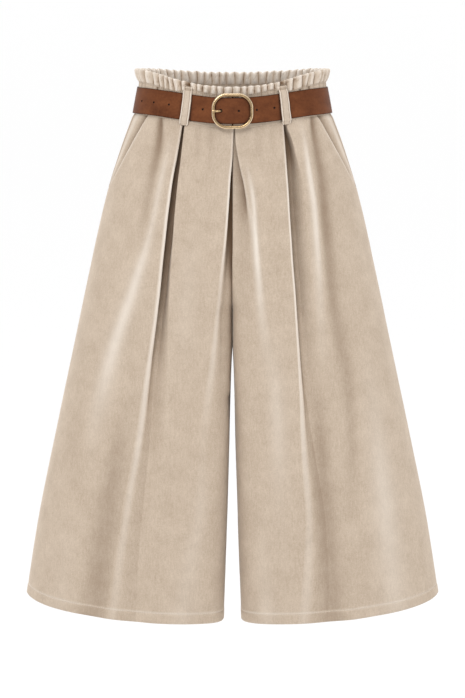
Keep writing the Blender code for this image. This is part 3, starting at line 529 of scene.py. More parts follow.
def panel_grid(facing, side, steps, line_of):
    """The middle points of a leg panel and its painted light, row by row, with the hem turned up inside."""
    side_name = "left" if side > 0 else "right"
    creases = CREASES[facing + "_" + side_name]
    drops = panel_drops(steps)
    turn_up = [(HEM_DROP - up, inset) for up, inset in
               ((0, -0.5), (0, -1.3), (0.8, -1.7), (5, -1.8), (12, -1.8))]
    grid, painted_light_and_tone_rows = [], []
    for drop, inset in [(drop, 0.0) for drop in drops] + turn_up:
        section = body_section(drop, facing)
        row, painted_light_and_tone_row = [], []
        for reach, out, painted_light_and_tone in line_of(section, drop, side_name):
            base = section.at(reach, 0.0)
            share = min(reach / section.length, 1.0)
            fading = math.sin(math.pi * share) ** 0.5 if share > 0 else 0.0
            wave = read(HEM_WAVE, drop, "height") * math.sin(math.pi * share)
            wave *= math.sin(5 * math.pi * share + 0.6)
            z = height(drop, base.x, facing)
            laid = creased(creases, drop, base.x)
            moved = laid + (wave if facing == "front" else -wave)
            moved += ripple(Vector((side * base.x, base.y, z)), side, facing) * fading
            moved += hem_relief(drop) + waist_tuck(drop) + inset
            spot = section.at(reach, out + moved)
            # Beside the centre seam the cloth moves straight back and forth, and doesn't cross the middle.
            if facing == "front" and drop < 430:
                spot = spot.lerp(base - Vector((0.0, out + moved)), soft_step((14 - base.x) / 8))
            row.append(Vector((side * spot.x, spot.y if facing == "front" else -spot.y, z)))
            # A painted highlight along the hem's stitching, and painted light on the creases, lighter on
            # their ridges and darker in their troughs.
            stitched = 0.5 * math.exp(-(((drop - HEM_DROP + HEM_DEPTH + 0.5) / 1.6) ** 2))
            painted_light_and_mottle = min(0.02 * max(laid, 0.0) ** 3 + 0.06 * max(laid, 0.0), 0.8)
            painted_light_and_mottle += max(0.16 * min(laid, 0.0), -0.7)
            painted_light_and_tone_row.append(painted_light_and_tone + painted_light_and_mottle + stitched)
        grid.append(row)
        painted_light_and_tone_rows.append(painted_light_and_tone_row)
    return grid, painted_light_and_tone_rows


def chosen(piece):
    """Leaves a piece as the only one selected, and active."""
    bpy.ops.object.select_all(action="DESELECT")
    piece.select_set(True)
    bpy.context.view_layer.objects.active = piece


def cloth_from_grid(name, grid, painted_light_and_tone_rows, thickness, cloth, flipped):
    """A sheet of cloth on a grid of middle points, with a wall, its cut's map and painted light and tone."""
    columns = len(grid[0])
    mesh = bpy.data.meshes.new(name)
    faces = []
    for i in range(len(grid) - 1):
        for j in range(columns - 1):
            first, below = i * columns + j, (i + 1) * columns + j
            face = (first, first + 1, below + 1, below)
            faces.append(face if flipped else face[::-1])
    mesh.from_pydata([point * MM for row in grid for point in row], [], faces)
    down = [0.0]
    for upper, lower in zip(grid, grid[1:]):
        down.append(down[-1] + (lower[columns // 2] - upper[columns // 2]).length * MM)
    across = []
    for row in grid:
        total = [0.0]
        for a, b in zip(row, row[1:]):
            total.append(total[-1] + (b - a).length * MM)
        across.append(total)
    cut = mesh.uv_layers.new(name="cut")
    for corner in mesh.loops:
        i, j = divmod(corner.vertex_index, columns)
        cut.data[corner.index].uv = (across[i][j], -down[i])
    # Each point's painted highlight and shade, and on the leather its darker burnished edges and painted
    # shadow.
    tone_and_painted_light = mesh.attributes.new("painted_light_and_tone", "FLOAT", "POINT")
    tone_and_painted_light.data.foreach_set("value", [painted_light_and_tone for row in painted_light_and_tone_rows for painted_light_and_tone in row])
    mesh.materials.append(cloth)
    piece = bpy.data.objects.new(name, mesh)
    bpy.context.scene.collection.objects.link(piece)
    chosen(piece)
    wall = piece.modifiers.new("wall", "SOLIDIFY")
    wall.thickness = thickness * MM
    wall.offset = 0.0
    bpy.ops.object.modifier_apply(modifier=wall.name)
    piece.data.shade_smooth()
    return piece


def shader_node(tree, kind, **values):
    """A node of a material with its sockets and settings."""
    made = tree.nodes.new(kind)
    for name, value in values.items():
        if name in made.inputs:
            made.inputs[name].default_value = value
        else:
            setattr(made, name, value)
    return made


def bare_finish(name, **values):
    """A new material with its node tree and its surface, whose sockets are set."""
    finish = bpy.data.materials.new(name)
    finish.use_nodes = True
    surface = finish.node_tree.nodes["Principled BSDF"]
    for socket, value in values.items():
        surface.inputs[socket.replace("_", " ")].default_value = value
    return finish, finish.node_tree, surface


def pattern(tree, place, kind="ShaderNodeTexNoise", result="Fac", **values):
    """A pattern or a mapping that reads a piece's own coordinates."""
    made = shader_node(tree, kind, **values)
    tree.links.new(place, made.inputs["Vector"])
    return made.outputs[result]


def between(tree, first, second, share):
    """Two patterns blended by a share."""
    blend = shader_node(tree, "ShaderNodeMix", Factor=share)
    tree.links.new(first, blend.inputs["A"])
    tree.links.new(second, blend.inputs["B"])
    return blend.outputs["Result"]


def two_tones(tree, strength, low, high, low_at=0.0, high_at=1.0):
    """A colour that runs from one tone to another with a pattern's strength."""
    tones = shader_node(tree, "ShaderNodeValToRGB")
    for element, tone, at in zip(tones.color_ramp.elements, (low, high), (low_at, high_at)):
        element.position = at
        element.color = (*tone, 1.0)
    tree.links.new(strength, tones.inputs["Fac"])
    return tones.outputs["Color"]


def laid_over(tree, under, tone, strength):
    """A colour with one tone laid over it by a strength."""
    mix = shader_node(tree, "ShaderNodeMixRGB", Color2=(*tone, 1.0))
    tree.links.new(strength, mix.inputs["Fac"])
    tree.links.new(under, mix.inputs["Color1"])
    return mix.outputs["Color"]


def clamped(tree, value, factor):
    """A value times a factor, kept from 0 to 1."""
    times = shader_node(tree, "ShaderNodeMath", operation="MULTIPLY", use_clamp=True)
    times.inputs[1].default_value = factor
    tree.links.new(value, times.inputs[0])
    return times.outputs[0]


def relief(tree, pattern_height, strength, distance):
    """A fine relief from a pattern's height."""
    bump = shader_node(tree, "ShaderNodeBump", Strength=strength, Distance=distance)
    tree.links.new(pattern_height, bump.inputs["Height"])
    return bump


def suede_cloth():
    """Brushed suede cloth: mottled beige with a fine upright pile, and painted highlights and shade."""
    cloth, tree, surface = bare_finish("brushed_suede_cloth", Roughness=0.92, Specular_IOR_Level=0.15,
                                       Sheen_Roughness=0.45, Sheen_Tint=(1.0, 0.90, 0.79, 1.0))
    link = tree.links.new
    place = shader_node(tree, "ShaderNodeTexCoord").outputs["Object"]
    upright = pattern(tree, place, "ShaderNodeMapping", "Vector", Scale=(1.0, 1.0, 0.2))
    patches = pattern(tree, place, Scale=38.0, Detail=4.0, Roughness=0.62)
    streaks = pattern(tree, upright, Scale=560.0, Detail=3.0, Roughness=0.6)
    fuzz = pattern(tree, place, Scale=560.0, Detail=3.0, Roughness=0.75)
    mottle = between(tree, between(tree, patches, streaks, 0.46), fuzz, 0.42)
    tones = two_tones(tree, mottle, (0.448, 0.354, 0.269), (0.602, 0.497, 0.395), 0.38, 0.63)
    # The attribute paints highlights in a pale tone on folds and crests, and shade in a deep brown in
    # recesses and creases, where the sheen is turned down too.
    painted_light_and_tone = shader_node(tree, "ShaderNodeAttribute", attribute_name="painted_light_and_tone").outputs["Fac"]
    painted_shade_mask = clamped(tree, painted_light_and_tone, -0.9)
    sheen = shader_node(tree, "ShaderNodeMath", operation="MULTIPLY_ADD")
    sheen.inputs[1].default_value = -0.35
    sheen.inputs[2].default_value = 0.35
    link(painted_shade_mask, sheen.inputs[0])
    link(sheen.outputs[0], surface.inputs["Sheen Weight"])
    pale = laid_over(tree, tones, (0.88, 0.81, 0.73), clamped(tree, painted_light_and_tone, 0.70))
    link(laid_over(tree, pale, (0.135, 0.070, 0.030), painted_shade_mask), surface.inputs["Base Color"])
    link(relief(tree, mottle, 0.35, 0.0006).outputs["Normal"], surface.inputs["Normal"])
    return cloth


FRONT_ROWS = 132
suede = suede_cloth()
front_grids = {}
for side, side_name in ((1, "left"), (-1, "right")):
    grid, painted_light_and_tone_rows = panel_grid("front", side, FRONT_ROWS, front_line)
    front_grids[side_name] = grid
    panel = cloth_from_grid("front_panel_" + side_name, grid, painted_light_and_tone_rows, CLOTH, suede, side < 0)
    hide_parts("front_" + side_name)
    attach(panel, "root")

# ---------------------------------------------------------------- back leg panels
# Each leg's back is one plain cut of the same cloth, sewn to its neighbour down the middle of the seat. It
# hangs in soft folds from the elastic waist, and its hem is turned up with the front's.

GATHER_DEPTHS = table_of(Crease, (16, 0, 1, 0.5), (30, 0, 1, 1.5), (60, 0, 1, 1.9), (120, 0, 1, 1.2),
                         (220, 0, 1, 0.5), (380, 0, 1, 0.1), (762, 0, 1, 0.0))
CREASES.update({
    "back_right": (
        table_of(Crease, (60, 60, 8, 0.0), (150, 72, 12, 1.6), (300, 96, 16, 2.4), (480, 126, 22, 2.0),
                 (762, 176, 30, 1.6)),
        table_of(Crease, (90, 96, 8, 0.0), (190, 118, 12, -1.6), (340, 146, 16, -2.2), (520, 180, 22, -1.6),
                 (762, 224, 30, -1.0)),
        table_of(Crease, (180, 30, 8, 0.0), (262, 34, 12, -2.0), (340, 52, 16, -1.4), (470, 76, 22, 0.0)),
        table_of(Crease, (250, 148, 12, 0.0), (400, 178, 16, 1.6), (600, 214, 24, 2.0), (762, 238, 28, 1.4)),
        table_of(Crease, (330, 40, 12, 0.0), (520, 58, 16, -1.4), (762, 84, 24, -1.8)),
    ),
    "back_left": (
        table_of(Crease, (50, 54, 8, 0.0), (140, 66, 12, -1.5), (310, 92, 18, -2.3), (500, 124, 24, -1.8),
                 (762, 168, 30, -1.2)),
        table_of(Crease, (80, 84, 8, 0.0), (200, 108, 12, 1.8), (360, 138, 18, 2.4), (560, 172, 24, 1.8),
                 (762, 206, 30, 1.4)),
        table_of(Crease, (190, 28, 8, 0.0), (268, 36, 12, -1.8), (350, 56, 16, -1.2), (440, 72, 20, 0.0)),
        table_of(Crease, (260, 158, 12, 0.0), (420, 188, 16, -1.4), (620, 228, 24, -1.8),
                 (762, 252, 28, -1.0)),
        table_of(Crease, (360, 44, 12, 0.0), (540, 62, 16, 1.3), (762, 90, 24, 1.6)),
    ),
})


BACK_CORNER = 22.0
SEAT_COLUMNS = 30
BACK_COLUMNS = 104
GATHER_COUNT = 7.5


def back_line(section, drop, side_name):
    """One row of a back panel, with the soft gathers that hang from the elastic waist."""
    corner = section.reach_of(BACK_CORNER)
    line = turned_in(0.0, -1, 2.0, 6.0)[::-1]
    line += [(reach, 0.0, 0.0) for reach in spread(0.7, corner, SEAT_COLUMNS)]
    depth = read(GATHER_DEPTHS, drop, "height")
    offset = 0.4 if side_name == "left" else 1.9
    last = section.length - 1.2
    for reach in spread(corner, last, BACK_COLUMNS):
        share = (reach - corner) / (last - corner)
        turn = 2 * math.pi * GATHER_COUNT * share + 0.9 * math.sin(7.1 * share + offset) + offset
        line.append((reach, depth * math.sin(turn) * max(math.sin(math.pi * share), 0.0) ** 0.6, 0.0))
    return line + turned_in(section.length, 1, 2.6, 9.0)


BACK_ROWS = 104
back_grids = {}
for side, side_name in ((1, "left"), (-1, "right")):
    grid, painted_light_and_tone_rows = panel_grid("back", side, BACK_ROWS, back_line)
    back_grids[side_name] = grid
    panel = cloth_from_grid("back_panel_" + side_name, grid, painted_light_and_tone_rows, CLOTH, suede, side > 0)
    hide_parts("back_" + side_name)
    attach(panel, "root")

# ---------------------------------------------------------------- pocket backs
# The hip piece that fills the corner behind each slanted pocket mouth. It is cut from the same cloth, lies
# under the mouth's folded edge and is sewn to the back panel at the side seam.

POCKET_DEPTH = 5.5
POCKET_UNDER = 14.0
POCKET_BOTTOM = 150.0
SIDE_SEAM_IN = 4.2
POCKET_COLUMNS = 30
POCKET_ROWS = 34


def pocket_line(section, drop):
    """One row of a pocket's back, from under the mouth to the side seam."""
    mouth = mouth_reach(section, drop)
    seam = section.length - SIDE_SEAM_IN
    mouth_across, side_across = section.at(mouth, 0.0).x, section.at(section.length, 0.0).x
    line = []
    under = [mouth - POCKET_UNDER, mouth - 9, mouth - 5, mouth - 2]
    for reach in under + spread(mouth - 2, section.length - 0.2, POCKET_COLUMNS):
        out = -POCKET_DEPTH * (1 - soft_step((reach - mouth - 0.5) / 15))
        groove = math.exp(-(((reach - seam) / 1.1) ** 2)) * (1 - soft_step((drop - 105) / 20))
        share = (section.at(reach, 0.0).x - mouth_across) / max(side_across - mouth_across, 0.1)
        # Painted shade beside the mouth, along the side seam's groove and where the piece turns under, and a
        # painted highlight between the mouth and the seam.
        shade = 0.8 * (1 - soft_step(share / 0.5)) - 0.45 * math.exp(-(((share - 0.7) / 0.14) ** 2))
        shade += 0.75 * math.exp(-(((share - 0.92) / 0.035) ** 2))
        line.append((reach, out - 1.6 * groove, -0.3 * groove - shade * (1 - soft_step((drop - 110) / 40))))
    return line + [(section.length - 0.5, -1.9, -0.5), (section.length - 8, -2.4, -0.5)]


for side, side_name in ((1, "left"), (-1, "right")):
    grid, painted_light_and_tone_rows = [], []
    for drop in [PANEL_TOP, 20.0, 23.0] + spread(23.0, POCKET_BOTTOM, POCKET_ROWS):
        section = body_section(drop, "front")
        row, painted_light_and_tone_row = [], []
        for reach, out, painted_light_and_tone in pocket_line(section, drop):
            base = section.at(reach, 0.0)
            z = height(drop, base.x, "front")
            out += waist_tuck(drop) + 0.6 * ripple(Vector((side * base.x, base.y + 40, z)), side, "front")
            spot = section.at(reach, out)
            row.append(Vector((side * spot.x, spot.y, z)))
            painted_light_and_tone_row.append(painted_light_and_tone)
        grid.append(row)
        painted_light_and_tone_rows.append(painted_light_and_tone_row)
    hip = cloth_from_grid("pocket_hip_" + side_name, grid, painted_light_and_tone_rows, CLOTH, suede, side < 0)
    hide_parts("pocket_back_" + side_name)
    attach(hip, "root")

# ---------------------------------------------------------------- waistband
# A casing of doubled cloth is drawn up by elastic, and stands above its stitching as a ruffled header. The
# front and the back are two strips joined at the side seams, and the belt hides all but the header.

BAND_CLOTH = 0.9
BAND_BOTTOM = -19.6
BAND_TOP = 44.0
# How far the ruffle's edge swings up and down over its gathers, and how far the back's is above its
# stitching.
RUFFLE_CROWN = 1.3
BACK_HEADER = 18.0
BELT_TOP = 19.5
# How far the casing's folds may stand out behind the strap.
UNDER_BELT = 1.1

Ring = namedtuple("Ring", "rise side front back")
RINGS = table_of(
    Ring,
    (-26, 144.9, 92.6, 93.6),
    (0, 140.0, 89.5, 90.5),
    (19, 136.6, 87.4, 88.4),
    (27, 135.7, 86.9, 87.9),
    (44, 138.4, 89.0, 90.0),
)
Sag = namedtuple("Sag", "front back power")
BELT_SAG = Sag(13.0, 4.0, 2.0)
TOP_SAG = Sag(23.5, 7.0, 2.5)
BOTTOM_SAG = Sag(18.0, 5.5, 2.0)

# How far below its top edge the header is stitched, by the distance from the middle of the front.
Header = namedtuple("Header", "away below")
FRONT_HEADER = table_of(Header, (0, 14.0), (18, 13.0), (40, 10.5), (60, 9.0), (74, 14.0), (90, 18.0),
                        (190, 18.0))

# The header's and the casing's swing, by the rise from the stitching: the wave that both layers share, the
# puff of each layer, and how far apart they lie.
Swing = namedtuple("Swing", "rise wave puff apart")
SWINGS = table_of(
    Swing,
    (-46, 0.4, 0.2, 1.2),
    (-22, 0.5, 0.4, 1.5),
    (-9, 0.4, 0.4, 1.6),
    (-3, 0.5, 0.6, 1.4),
    (0, 0.7, 0.6, 1.0),
    (3, 1.5, 2.1, 1.3),
    (9, 2.3, 3.2, 1.6),
    (15, 3.0, 3.0, 1.6),
    (18, 3.2, 2.4, 1.4),
)
GATHER_WIDTHS = {
    "front": (14, 14.6, 11.6, 19.3, 11, 8.8, 8.4, 8.9, 11, 12.1, 10.5, 9.6, 11.2, 9.4, 10.8, 12.2, 12.4,
              9.6, 11.2, 9.2, 10, 10.2, 9.1, 9.3, 11.1, 15.1, 8.9, 14, 12, 14, 14, 14.1),
    "back": (9, 12, 10.5, 13.5, 9, 12.5, 10, 11.5, 14.5, 8.5, 12, 10.5, 13, 9, 12, 14, 9.5, 11, 13, 8.5,
             12.5, 10, 14, 9.5, 11, 12.5, 9, 13.5, 10, 11.5, 10, 8.5),
}
# Reaches where the casing is caught in a short tuck between the header's stitching and the belt, and where
# the front loops' tops press the header flat.
TUCKS = (-118, -91, 104, 121)
LOOP_REACH = 67.5
FRONT_LEFT_LOOP = 75.5
TURN_STEPS = 1440
GATHER_COLUMNS = 13


def oval(turn, rise):
    """A point of the waist's ring, by its turn from the middle of the front towards the wearer's left."""
    ring = row_at(RINGS, rise)
    depth = ring.front if math.cos(turn) > 0 else ring.back
    power = 2 / SIDE_POWER
    x = math.copysign(abs(math.sin(turn)) ** power, math.sin(turn)) * ring.side
    y = -math.copysign(abs(math.cos(turn)) ** power, math.cos(turn)) * depth
    return Vector((x, y))


turns = [math.tau * i / TURN_STEPS for i in range(TURN_STEPS + 1)]
turn_reaches = [0.0]
for turn_a, turn_b in zip(turns, turns[1:]):
    turn_reaches.append(turn_reaches[-1] + (oval(turn_b, 0.0) - oval(turn_a, 0.0)).length)
waist_round = turn_reaches[-1]


def turn_of(reach):
    """The turn of a place on the waist, from its reach along the ring at the middle of the belt."""
    reach %= waist_round
    i = min(bisect_right(turn_reaches, reach), TURN_STEPS) - 1
    share = (reach - turn_reaches[i]) / (turn_reaches[i + 1] - turn_reaches[i])
    return turns[i] + (turns[i + 1] - turns[i]) * share


def sunk(turn, sag):
    """How far a line round the waist has sunk at a turn."""
    across = abs(oval(turn, 0.0).x) / RINGS[1].side
    return (sag.front if math.cos(turn) > 0 else sag.back) * (1 - min(across, 1.0) ** sag.power) ** 2


def at_waist(reach, rise, out):
    """A point by its reach round the waist, its rise from the belt's middle line and its place outwards."""
    turn = turn_of(reach)
    step = 0.004
    along = (oval(turn + step, rise) - oval(turn - step, rise)).normalized()
    spot = oval(turn, rise) + Vector((along.y, -along.x)) * out
    return Vector((spot.x, spot.y, rise - sunk(turn, BELT_SAG)))


def gather_places(start, end, widths, columns):
    """Reaches along half the waist, each with its place in turns of the gathers and its gather's depth."""
    scale = (end - start) / sum(widths)
    places, reach = [], start
    for k, width in enumerate(widths):
        depth = 0.8 + 0.55 * noise.noise(Vector((k * 0.73, 4.0, 1.0))) + 0.15 * math.sin(2.3 * k)
        for i in range(columns):
            share = i / columns
            places.append((reach + share * width * scale, k + share, depth / max(width / 10.5, 1.0) ** 0.6))
        reach += width * scale
    return places + [(end, float(len(widths)), 0.75)]


def band_rows(top, stitched, bottom):
    """The rows of the doubled band, up its outside and down its inside, as (rise, layer) pairs."""
    rises = [bottom, bottom + 0.8, bottom + 3] + spread(bottom + 3, stitched - 4, 7)
    rises += [stitched + beside for beside in (-2.4, -1.1, 0, 1.1, 2.4)]
    rises += spread(stitched + 2.4, top - 1.6, 7)
    up = [(rise, 1.0) for rise in rises]
    angles = [math.radians(degrees) for degrees in (25, 50, 75, 90)]
    over = [(top - 1.6 + 1.6 * math.sin(angle), math.cos(angle)) for angle in angles]
    down = [(rise, -layer) for rise, layer in reversed(up + over[:-1])]
    return up + over + down[:-2]


waist_grids = {}
quarter = waist_round / 4
for half, start in (("front", -quarter), ("back", quarter)):
    columns = []
    for reach, place, depth in gather_places(start, start + 2 * quarter, GATHER_WIDTHS[half], GATHER_COLUMNS):
        turn = turn_of(reach)
        belt_line = sunk(turn, BELT_SAG)
        crown = 2 * abs(math.sin(math.pi * place)) ** 0.6 - 1
        uneven = noise.noise(Vector((reach * 0.05, 2, 7)))
        top = BAND_TOP - sunk(turn, TOP_SAG) + belt_line + RUFFLE_CROWN * crown + uneven
        away = abs((reach + waist_round / 2) % waist_round - waist_round / 2)
        below = read(FRONT_HEADER, away, "below") if half == "front" else BACK_HEADER
        stitched = top - RUFFLE_CROWN * crown - below
        bottom = BAND_BOTTOM - sunk(turn, BOTTOM_SAG) + belt_line
        lean = (4.5 if half == "front" else 2.0) * noise.noise(Vector((reach * 0.04, 5.0, 3.0)))
        tuck = sum(math.exp(-(((reach - where) / 1.7) ** 2)) for where in TUCKS)
        # Which way, and how strongly, one side of each gather is painted lighter and the other darker.
        lit = min(max(reach / 40, -1.0), 1.0) if half == "front" else 0.4
        looped = sum(math.exp(-(((reach - where) / 7.4) ** 4)) for where in (-LOOP_REACH, FRONT_LEFT_LOOP))
        column = []
        for rise, layer in band_rows(top, stitched, bottom):
            above = rise - stitched
            swing = row_at(SWINGS, above * (BACK_HEADER / below if above > 0 else 1.0))
            phase = math.tau * (place + 0.5 + 0.05 * math.sin(0.16 * above + 2.1 * place))
            # Both layers swing together and puff apart, apart from where a loop presses them flat.
            wave = swing.wave * depth * math.cos(phase)
            pinch = abs(math.cos(phase / 2)) if layer > 0 else abs(math.sin(phase / 2))
            puff = swing.puff * depth * pinch**0.8
            pressed = 0.8 * looped * soft_step((32.5 - rise) / 2.5)
            out = (wave + layer * puff) * (1 - pressed) + layer * swing.apart / 2
            tangle = noise.noise(Vector((reach * 0.19, above * 0.07, 6.0 + layer)))
            wrinkle = math.exp(-((tangle / 0.05) ** 2))
            out -= 0.4 * layer * wrinkle * soft_step(above / 3)
            if rise < BELT_TOP:
                out = min(out, UNDER_BELT)
            flat = soft_step((rise - bottom - 1) / 6)
            out = out * flat + 0.35 * layer * (1 - flat)
            shift = lean * max(above, 0.0) / BACK_HEADER
            # Painted highlight on the gathers' crests, and painted shade where they pinch, in the wrinkles,
            # at the stitching and in the tucks, with one side of each gather painted lighter than the other.
            painted_light_and_tone = 0.25 + 0.5 * pinch**2 - 1.35 * math.exp(-((pinch / 0.23) ** 2)) * min(depth + 0.15, 1.0)
            painted_light_and_tone -= 0.6 * wrinkle
            painted_light_and_tone += 0.28 * lit * math.sin(phase)
            if above < 2:
                painted_light_and_tone = 0.4 * min(painted_light_and_tone, 0.0) - 0.4 * math.exp(-((above / 1.2) ** 2))
                painted_light_and_tone -= 0.9 * tuck * soft_step(-above / 1.5)
                out -= 1.5 * tuck * soft_step(-above / 1.5) * soft_step((above + 14) / 4)
            # A painted highlight along the ruffle's edge, and painted shade above a loop and above the ring.
            painted_light_and_tone += 0.3 * math.exp(-(((top - rise) / 1.6) ** 2))
            painted_light_and_tone -= 0.8 * looped * math.exp(-(((rise - 30.4) / 1.3) ** 2))
            painted_light_and_tone -= 1.1 * looped**12 * soft_step((rise - 31) / 1.5)
            if half == "front":
                slot = 1 - soft_step((abs(reach - 1.0) - 7.5) / 1.2)
                painted_light_and_tone -= 1.4 * slot * math.exp(-(((rise - BELT_TOP) / 2.2) ** 2))
            # The painted light fades at the casing's foot, and the back's inner layer is painted lighter.
            painted_light_and_tone = painted_light_and_tone * soft_step((rise + 16) / 6) + (0.3 if layer < 0 and half == "back" else 0.0)
            column.append((at_waist(reach + shift, rise, out), painted_light_and_tone))
        columns.append(column)
    grid = [[column[i][0] for column in columns] for i in range(len(columns[0]))]
    painted_light_and_tone_rows = [[column[i][1] for column in columns] for i in range(len(columns[0]))]
    waist_grids[half] = grid
    band = cloth_from_grid("waistband_ruffle_" + half, grid, painted_light_and_tone_rows, BAND_CLOTH, suede, True)
    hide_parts("waistband_" + half)
    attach(band, "root")

# ---------------------------------------------------------------- belt loops
# Four narrow strips of the same cloth, folded in three and topstitched. Each is bar-tacked to the waistband
# above the belt and again below it, where its end is turned under.

LOOP_WIDTH = 12.2
LOOP_CLOTH = 1.3
BELT_HEIGHT = 38.0
BELT_LEATHER = 1.8
STRAP_ON_BAND = 2.9
STRAP_ON_STRAP = 5.1

Loop = namedtuple("Loop", "name reach strap_out foot")
LOOPS = table_of(
    Loop,
    ("belt_loop_front_left", FRONT_LEFT_LOOP, STRAP_ON_STRAP, 3.4),
    ("belt_loop_front_right", -LOOP_REACH, STRAP_ON_BAND, 3.4),
    ("belt_loop_back_left", waist_round / 2 - LOOP_REACH, STRAP_ON_BAND, 4.6),
    ("belt_loop_back_right", waist_round / 2 + LOOP_REACH, STRAP_ON_BAND, 4.6),
)
# A loop across its width: the place as a share of half its width, and how far the cloth sinks there.
LOOP_SECTION = ((-0.86, 2.5), (-0.98, 1.9), (-1.0, 1.1), (-0.93, 0.5), (-0.82, 0.2), (-0.66, 0.6),
                (-0.5, -0.2), (-0.2, -0.6), (0.2, -0.6), (0.5, -0.2), (0.66, 0.6), (0.82, 0.2), (0.93, 0.5),
                (1.0, 1.1), (0.98, 1.9), (0.86, 2.5))
TACK_RISES = (26.6, 24.6)
SEWN_OUT = 3.3

for loop_name, loop_reach, strap_out, foot in LOOPS:
    edge = BELT_HEIGHT / 2
    over = strap_out + BELT_LEATHER / 2 + 0.3 + LOOP_CLOTH / 2 + 1.1
    # The loop from its sewn top to its turned-under foot: rise, place outwards and share of its width.
    run = [(29.4, SEWN_OUT - 1.0, 0.84), (29.2, SEWN_OUT + 0.1, 0.92), (28.6, SEWN_OUT + 0.7, 0.98),
           (27.7, SEWN_OUT + 0.8, 1.0), (26.6, SEWN_OUT + 0.1, 1.0), (25.6, SEWN_OUT + 0.6, 1.0),
           (24.6, SEWN_OUT + 0.1, 1.0), (23.4, SEWN_OUT + 0.9, 1.0),
           (edge + 3.0, (SEWN_OUT + over) / 2 + 0.3, 1.0), (edge + 1.6, over - 0.6, 1.0)]
    run += [(rise, over + 0.35 * math.sin(rise * 0.33 + loop_reach), 1.0) for rise in
            spread(edge + 0.6, -edge - 0.4, 14)]
    run += [(-edge - 1.6, over - 0.4, 1.0), (-edge - 2.8, (foot + over) / 2 + 0.4, 1.0),
            (-edge - 4.2, foot + 1.0, 0.99), (-edge - 5.6, foot + 0.9, 0.95),
            (-edge - 6.6, foot + 0.5, 0.86), (-edge - 7.1, foot - 0.9, 0.72)]
    grid, painted_light_and_tone_rows = [], []
    for rise, out, share in run:
        row, painted_light_and_tone_row = [], []
        tack = sum(math.exp(-(((rise - line) / 0.6) ** 2)) for line in TACK_RISES)
        skew = 0.5 * math.sin(rise * 0.07 + loop_reach) - math.copysign(1.2, loop_reach) * rise / 30
        for place, sink in LOOP_SECTION:
            row.append(at_waist(loop_reach + skew + place * share * LOOP_WIDTH / 2, rise, out - sink))
            # Painted highlight on the rims, and painted shade in the grooves, on the turned sides and along
            # the bar tacks' grooves.
            tone_and_painted_light = 0.7 if 0.8 < abs(place) < 0.95 else -0.5 if sink == 0.6 else -0.75 if sink > 1 else 0.1
            painted_light_and_tone_row.append(tone_and_painted_light - 0.6 * tack)
        grid.append(row)
        painted_light_and_tone_rows.append(painted_light_and_tone_row)
    loop = cloth_from_grid(loop_name + "_strip", grid, painted_light_and_tone_rows, CLOTH, suede, True)
    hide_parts(loop_name)
    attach(loop, "root")

# ---------------------------------------------------------------- topstitching
# Lockstitch in a thread a little paler than the cloth, in one row round each hem and one round the waist,
# where it gathers the header.

STITCH_PITCH = 3.3
STITCH_LENGTH = 2.5
THREAD = 0.55
# A stitch's rings: the place along it, the share of its thickness there and its lift.
STITCH_RINGS = ((-0.5, 0.55, -0.25), (-0.3, 1.0, 0.10), (0.3, 1.0, 0.10), (0.5, 0.55, -0.25))
STITCH_SIDES = 6


def thread_finish():
    """Polyester thread, twisted and a little shiny."""
    thread, tree, surface = bare_finish("topstitch_thread", Roughness=0.6, Sheen_Weight=0.3)
    place = shader_node(tree, "ShaderNodeTexCoord").outputs["Object"]
    twist = pattern(tree, place, Scale=2200.0, Detail=1.0)
    tones = two_tones(tree, twist, (0.60, 0.51, 0.41), (0.80, 0.73, 0.63))
    tree.links.new(tones, surface.inputs["Base Color"])
    return thread


def walk(line, pitch):
    """Places at an even pitch along a line of (point, outward) pairs, each with its direction."""
    places, due = [], pitch / 2
    for (a, out_a), (b, out_b) in zip(line, line[1:]):
        length = (b - a).length
        while length > 1e-9 and due <= length:
            share = due / length
            places.append((a.lerp(b, share), (b - a).normalized(), out_a.lerp(out_b, share).normalized()))
            due += pitch
        due -= length
    return places


def stitches(name, line, pitch=STITCH_PITCH, length=STITCH_LENGTH):
    """A row of short sunken stitches along a line of (point, outward) pairs, as one piece."""
    build = bmesh.new()
    for middle, along, outward in walk(line, pitch):
        beside = along.cross(outward).normalized()
        rings = []
        for share, width, lift in STITCH_RINGS:
            ring = []
            for k in range(STITCH_SIDES):
                angle = math.tau * k / STITCH_SIDES
                offset = beside * math.cos(angle) + outward * math.sin(angle)
                point = middle + along * length * share + outward * lift * THREAD
                ring.append(build.verts.new((point + offset * width * THREAD / 2) * MM))
            rings.append(ring)
        for ring, after in zip(rings, rings[1:]):
            for k in range(STITCH_SIDES):
                beyond = (k + 1) % STITCH_SIDES
                build.faces.new((ring[k], ring[beyond], after[beyond], after[k]))
        build.faces.new(rings[0][::-1])
        build.faces.new(rings[-1])
    bmesh.ops.recalc_face_normals(build, faces=build.faces)
    mesh = bpy.data.meshes.new(name)
    build.to_mesh(mesh)
    build.free()
    mesh.materials.append(thread)
    mesh.shade_smooth()
    sewn = bpy.data.objects.new(name, mesh)
    bpy.context.scene.collection.objects.link(sewn)
    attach(sewn, "root")


def laid_on(grid, row, first, last, facing):
    """A line on a panel's grid row, lifted just off its outside, as (point, outward) pairs."""
    line = []
    for j in range(first, last + 1):
        along = grid[row][min(j + 1, last)] - grid[row][max(j - 1, first)]
        down = grid[row + 1][j] - grid[row - 1][j]
        outward = along.cross(down).normalized()
        point = grid[row][j]
        ahead = outward.y * (-1 if facing == "front" else 1)
        if ahead < -0.3 or (abs(ahead) <= 0.3 and outward.xy.dot(point.xy) < 0):
            outward = -outward
        line.append((point + outward * (CLOTH / 2 + 0.25), outward))
    return line


